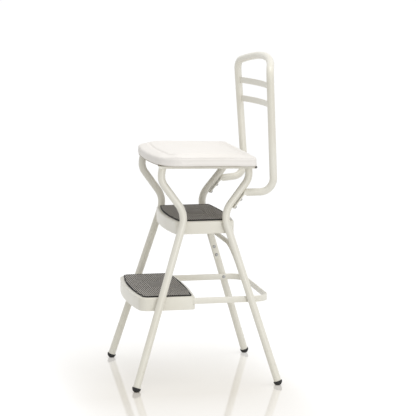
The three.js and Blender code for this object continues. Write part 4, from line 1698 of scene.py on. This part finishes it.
@dataclass(frozen=True)
class Seat:
    """The padded seat: a crowned vinyl cushion over its board."""

    outline: BowedOutline = BowedOutline(190, -266.5, 0.5, 18, 1.5, 66, 12)
    bottom: float = 4.4
    side_height: float = 25.8
    side_edge: tuple[float, float] = (2.5, 0.0)
    front_edge: tuple[float, float] = (6.0, 3.5)
    rear_edge: tuple[float, float] = (3.5, 1.8)
    front_reach: float = 90.0
    rear_reach: float = 140.0
    base_edge: tuple[tuple[float, float], ...] = ((1.6, 0.0), (0.4, 1.0), (0.0, 3.0))
    edge_steps: int = 5
    crown: float = 6.0
    crown_power: float = 2.6
    crown_shares: tuple[float, ...] = (0.96, 0.9, 0.8, 0.68, 0.55, 0.4, 0.25, 0.12)
    shrink: float = 0.8
    voxel: float = 4.0
    frames: int = 20
    quality: int = 6
    pressure: float = 4.0
    cap: float = 1.6
    held_height: float = 1.5
    held_fade: float = 3.0
    seam_inset: float = 31.0
    seam_width: float = 5.0
    seam_depth: float = 3.2
    welt_reach: float = 4.0
    welt_under: float = 4.6
    welt_width: float = 2.6
    welt_depth: float = 1.8

    def edge_rings(self, radius: float, drop: float) -> Rings:
        """Rings of the pad before it swells, with one kind of top edge.

        Args:
            radius: Radius of the top edge.
            drop: How much lower the edge is than the seat's sides.

        Returns:
            The rings from the base to the crown.
        """
        ring = self.outline.ring
        side_top = self.bottom + self.side_height - drop
        shoulder = side_top - radius
        rings = [ring(self.shrink + inset, self.bottom + rise) for inset, rise in self.base_edge]
        rings += [ring(self.shrink, z) for z in ((self.bottom + shoulder) / 2, shoulder)]
        for step in range(1, self.edge_steps):
            angle = QUARTER * step / self.edge_steps
            inset = self.shrink + radius * (1 - math.cos(angle))
            rings.append(ring(inset, shoulder + radius * math.sin(angle)))
        for share in self.crown_shares:
            rise = (self.crown + drop) * (1 - share**self.crown_power)
            rings.append(ring(self.shrink + radius, side_top + rise, share))
        return rings

    def start_rings(self) -> Rings:
        """Rings of the pad, crisp along the sides and rounder and lower along the front and rear.

        Returns:
            The rings from the base to the crown.
        """

        def placed(side: Vector, front: Vector, rear: Vector) -> Vector:
            """One point, between the three kinds of edge.

            Args:
                side: The point with the sides' edge.
                front: With the front edge.
                rear: With the rear edge.

            Returns:
                The point to use.
            """
            to_front = eased(1 - (side.y - self.outline.front) / self.front_reach)
            to_rear = eased(1 - (self.outline.rear - side.y) / self.rear_reach)
            return side.lerp(front, to_front).lerp(rear, to_rear)

        kinds = [self.edge_rings(*edge) for edge in (self.side_edge, self.front_edge, self.rear_edge)]
        return [[placed(*points) for points in zip(*rings)] for rings in zip(*kinds)]

    def swell(self, pad: bpy.types.Object) -> None:
        """Inflates the pad a little, with the base held and the way of each point capped.

        Args:
            pad: The pad, which is changed.
        """
        to_local = SEAT_PLANE.matrix().inverted()
        start = [vertex.co.copy() for vertex in pad.data.vertices]
        pins = pad.vertex_groups.new(name="pins")
        for index, place in enumerate(start):
            over = (to_local @ (place / MM)).z - self.bottom
            pins.add([index], limited(1 - (over - self.held_height) / self.held_fade), "REPLACE")
        settings = pad.modifiers.new("swell", "CLOTH").settings
        settings.use_pressure = True
        settings.uniform_pressure_force = self.pressure
        settings.effector_weights.gravity = 0.0
        settings.vertex_group_mass = "pins"
        settings.quality = self.quality
        scene = bpy.context.scene
        for number in range(1, self.frames + 1):
            scene.frame_set(number)
        swollen = modified(pad)
        ends = [vertex.co.copy() for vertex in swollen.vertices]
        bpy.data.meshes.remove(swollen)
        pad.modifiers.clear()
        scene.frame_set(1)
        limit = self.cap * MM
        for vertex, begin, end in zip(pad.data.vertices, start, ends):
            way = end - begin
            if way.length > limit:
                way = way.normalized() * limit
            vertex.co = begin + way
        pad.data.update()

    def inset_of(self, local: Vector) -> float:
        """How far a point lies inside the outline.

        Args:
            local: The point, in the seat plane.

        Returns:
            The distance in millimetres.
        """
        x, y = abs(local.x), local.y
        insets = [self.outline.half_width - x]
        front, front_corner, rear_corner, rear = self.outline.arcs()[:4]
        for _, centre_y, radius, *_ in (front, rear):
            insets.append(radius - math.hypot(x, y - centre_y))
        for (centre_x, centre_y, radius, *_), way in ((front_corner, -1), (rear_corner, 1)):
            if x > centre_x and (y - centre_y) * way > 0:
                insets.append(radius - math.hypot(x - centre_x, y - centre_y))
        return min(insets)

    def press_seams(self, pad: bpy.types.Object) -> None:
        """Presses one seam into the top, inside its edge, and one round the sides, below it.

        Args:
            pad: The pad, which is changed.
        """
        to_local = SEAT_PLANE.matrix().inverted()
        welt = self.bottom + self.side_height - self.welt_under
        normals = [vertex.normal.copy() for vertex in pad.data.vertices]
        for vertex, normal in zip(pad.data.vertices, normals):
            local = to_local @ (vertex.co / MM)
            inset = self.inset_of(local)
            if inset < self.welt_reach:
                away, depth = abs(local.z - welt) / self.welt_width, self.welt_depth
            else:
                away, depth = abs(inset - self.seam_inset) / self.seam_width, self.seam_depth
            if away < 1 and local.z > self.bottom + self.side_height / 2:
                vertex.co -= normal * (depth * MM * (1 - away * away) ** 2)
        pad.data.update()

    def cushion(self, maker: Maker) -> None:
        """Makes the cushion: remeshed, swollen as cloth, held at its seam and base.

        Args:
            maker: Makes and dresses the pieces.
        """
        points, faces = skinned(self.start_rings())
        matrix = SEAT_PLANE.matrix()
        pad = maker.mesh_object("seat_cushion_cover", [matrix @ point for point in points], faces)
        remesh = pad.modifiers.new("remesh", "REMESH")
        remesh.mode = "VOXEL"
        remesh.voxel_size = self.voxel * MM
        settle(pad)
        self.swell(pad)
        finer = pad.modifiers.new("finer", "SUBSURF")
        finer.levels = finer.render_levels = 1
        settle(pad)
        self.press_seams(pad)
        pad.data.polygons.foreach_set("use_smooth", [True] * len(pad.data.polygons))
        maker.finished(pad, VINYL, Body.SEAT, ["seat_cushion"])

    def build(self, maker: Maker) -> None:
        """Makes the cushion and dresses the board, hinges, pins, pads and rails.

        Args:
            maker: Makes and dresses the pieces.
        """
        self.cushion(maker)
        maker.dress(PLYWOOD, "seat_board")
        maker.dress_pairs(ZINC, "seat_hinge", "seat_hinge_screw_1", "seat_hinge_screw_2")
        maker.dress_pairs(PIN_STEEL, "seat_hinge_pin")
        maker.dress_pairs(FOOT_RUBBER, "seat_pad")
        maker.dress_pairs(ENAMEL, "seat_rail")
        maker.dress(ENAMEL, "seat_cross_rail")
        spacers = "upper_step_front_spacer", "upper_step_rear_spacer", "lower_step_front_spacer"
        maker.dress_pairs(ZINC, *spacers)


# The stage, in metres


@dataclass(frozen=True)
class Lamp:
    """A soft area lamp."""

    name: str
    place: tuple[float, float, float]
    target: tuple[float, float, float]
    size: float
    power: float


def aimed(name: str, data: bpy.types.ID, place: Sequence[float], way: Vector) -> bpy.types.Object:
    """A new camera or lamp that looks one way from its place.

    Args:
        name: The object's name.
        data: The camera's or lamp's data.
        place: Where it is.
        way: Which way it looks.

    Returns:
        The object.
    """
    made = linked(name, data)
    made.location = place
    made.rotation_euler = way.to_track_quat("-Z", "Y").to_euler()
    return made


@dataclass(frozen=True)
class Studio:
    """Pale floor, soft light and the camera."""

    floor_half: float = 30.0
    camera_place: tuple[float, float, float] = (5.0788, -0.9807, 1.1711)
    view: tuple[float, float, float] = (-0.9707, 0.1946, -0.1409)
    sensor: float = 36.0
    lens: float = 172.97
    shift_x: float = 0.0017
    far: float = 100.0
    world_light: float = 0.70
    lamps: tuple[Lamp, ...] = (
        Lamp("top_lamp", (0.3, 0.6, 3.6), (0.0, 0.0, 0.4), 2.6, 47.0),
        Lamp("side_lamp", (4.6, 1.1, 1.1), (0.0, 0.0, 0.45), 2.0, 44.0),
    )
    ground_colour: Colour = (0.6, 0.6, 0.6, 1.0)
    matt_colour: Colour = srgb(225, 225, 224)
    ground_roughness: float = 0.9
    glow: float = 0.745
    reflection: float = 0.42
    mirror_roughness: float = 0.06
    # Painted shadow: a darker, warmer floor colour in a soft patch below the object.
    painted_shadow_colour: Colour = (0.47, 0.405, 0.30, 1.0)
    painted_shadow_middle: tuple[float, float] = (0.26, -0.065)
    painted_shadow_reach: tuple[float, float] = (0.95, 0.34)
    painted_shadow_power: float = 4.0

    def floor_material(self) -> bpy.types.Material:
        """White for the camera, with a painted warm shadow below the object, and the object's own shadow
        and reflection.

        Returns:
            The material.
        """
        made = bpy.data.materials.new("pale_floor")
        bench = emptied_bench(made)
        place = bench.place()
        nearer, aside = (
            (bench.axis(name, place) - middle).size() * (1 / reach)
            for name, middle, reach in zip("XY", self.painted_shadow_middle, self.painted_shadow_reach)
        )
        # Painted shadow pool below the object, carried in the emission colour.
        painted_shadow = (1.0 - nearer).held() * (1.0 - aside ** self.painted_shadow_power).held()
        ground = bench.surface(
            Base_Color=self.ground_colour,
            Specular_IOR_Level=0.0,
            Roughness=self.ground_roughness,
            Emission_Color=bench.mix(painted_shadow, WHITE, self.painted_shadow_colour),
            Emission_Strength=self.glow,
        )
        mirror = bench.node("ShaderNodeBsdfGlossy", None, {"Roughness": self.mirror_roughness})
        matt = bench.node("ShaderNodeBsdfDiffuse", None, {"Color": self.matt_colour})
        mixed = bench.blend(bench.seen(), matt, bench.blend(self.reflection, ground, mirror))
        bench.node("ShaderNodeOutputMaterial", None, {"Surface": mixed})
        return made

    def floor(self) -> None:
        """The floor under the feet."""
        half = self.floor_half
        mesh = bpy.data.meshes.new("floor")
        corners = [(-half, -half, 0.0), (half, -half, 0.0), (half, half, 0.0), (-half, half, 0.0)]
        mesh.from_pydata(corners, [], [(0, 1, 2, 3)])
        mesh.materials.append(self.floor_material())
        floor = linked("floor", mesh)

    def sky(self) -> None:
        """White where it is seen, and soft light for the rest."""
        world = bpy.data.worlds.new("studio")
        bpy.context.scene.world = world
        bench = emptied_bench(world)
        shown, light = (
            bench.node("ShaderNodeBackground", None, {"Color": WHITE, "Strength": strength})
            for strength in (1.0, self.world_light)
        )
        mixed = bench.blend(bench.seen(), light, shown)
        bench.node("ShaderNodeOutputWorld", None, {"Surface": mixed})

    def light(self) -> None:
        """The soft lamps."""
        for lamp in self.lamps:
            data = bpy.data.lights.new(lamp.name, "AREA")
            data.shape = "DISK"
            data.size = lamp.size
            data.energy = lamp.power
            aimed(lamp.name, data, lamp.place, Vector(lamp.target) - Vector(lamp.place))

    def camera(self) -> None:
        """The camera at the photograph's viewpoint."""
        data = bpy.data.cameras.new("camera")
        data.sensor_width = self.sensor
        data.lens = self.lens
        data.shift_x = self.shift_x
        data.clip_end = self.far
        bpy.context.scene.camera = aimed("camera", data, self.camera_place, Vector(self.view))

    def build(self) -> None:
        """Sets the whole stage."""
        bpy.context.scene.view_settings.view_transform = "Standard"
        self.camera()
        self.floor()
        self.sky()
        self.light()


def main(frame: Mapping[str, object]) -> None:
    """Builds every sub-assembly in order.
    """
    logging.basicConfig(level=logging.INFO, format="%(name)s: %(message)s")
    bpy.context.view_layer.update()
    Studio().build()
    maker = Maker(frame["nodes"])
    back = BackRest()
    Legs().build(maker)
    back.build(maker)
    Step(
        name="upper_step",
        outline=BowedOutline(147.4, -84.9, 86.1, 13, 9, 13, 6),
        top=421.7,
        bottom=389.0,
        plaque=(0.0, 5.1, 84.0, 40.0),
    ).build(maker)
    Step(
        name="lower_step",
        outline=BowedOutline(171, -182.4, -20.9, 15, 7, 26, 12),
        top=232.7,
        bottom=198.5,
        plaque=(0.0, -98.9, 84.0, 44.0),
        notch=(164.2, 169.2, 211.1, 229.1),
    ).build(maker)
    Straps().build(maker)
    Fasteners().build(maker, back)
    Seat().build(maker)


if __name__ == "__main__":
    main(frame)
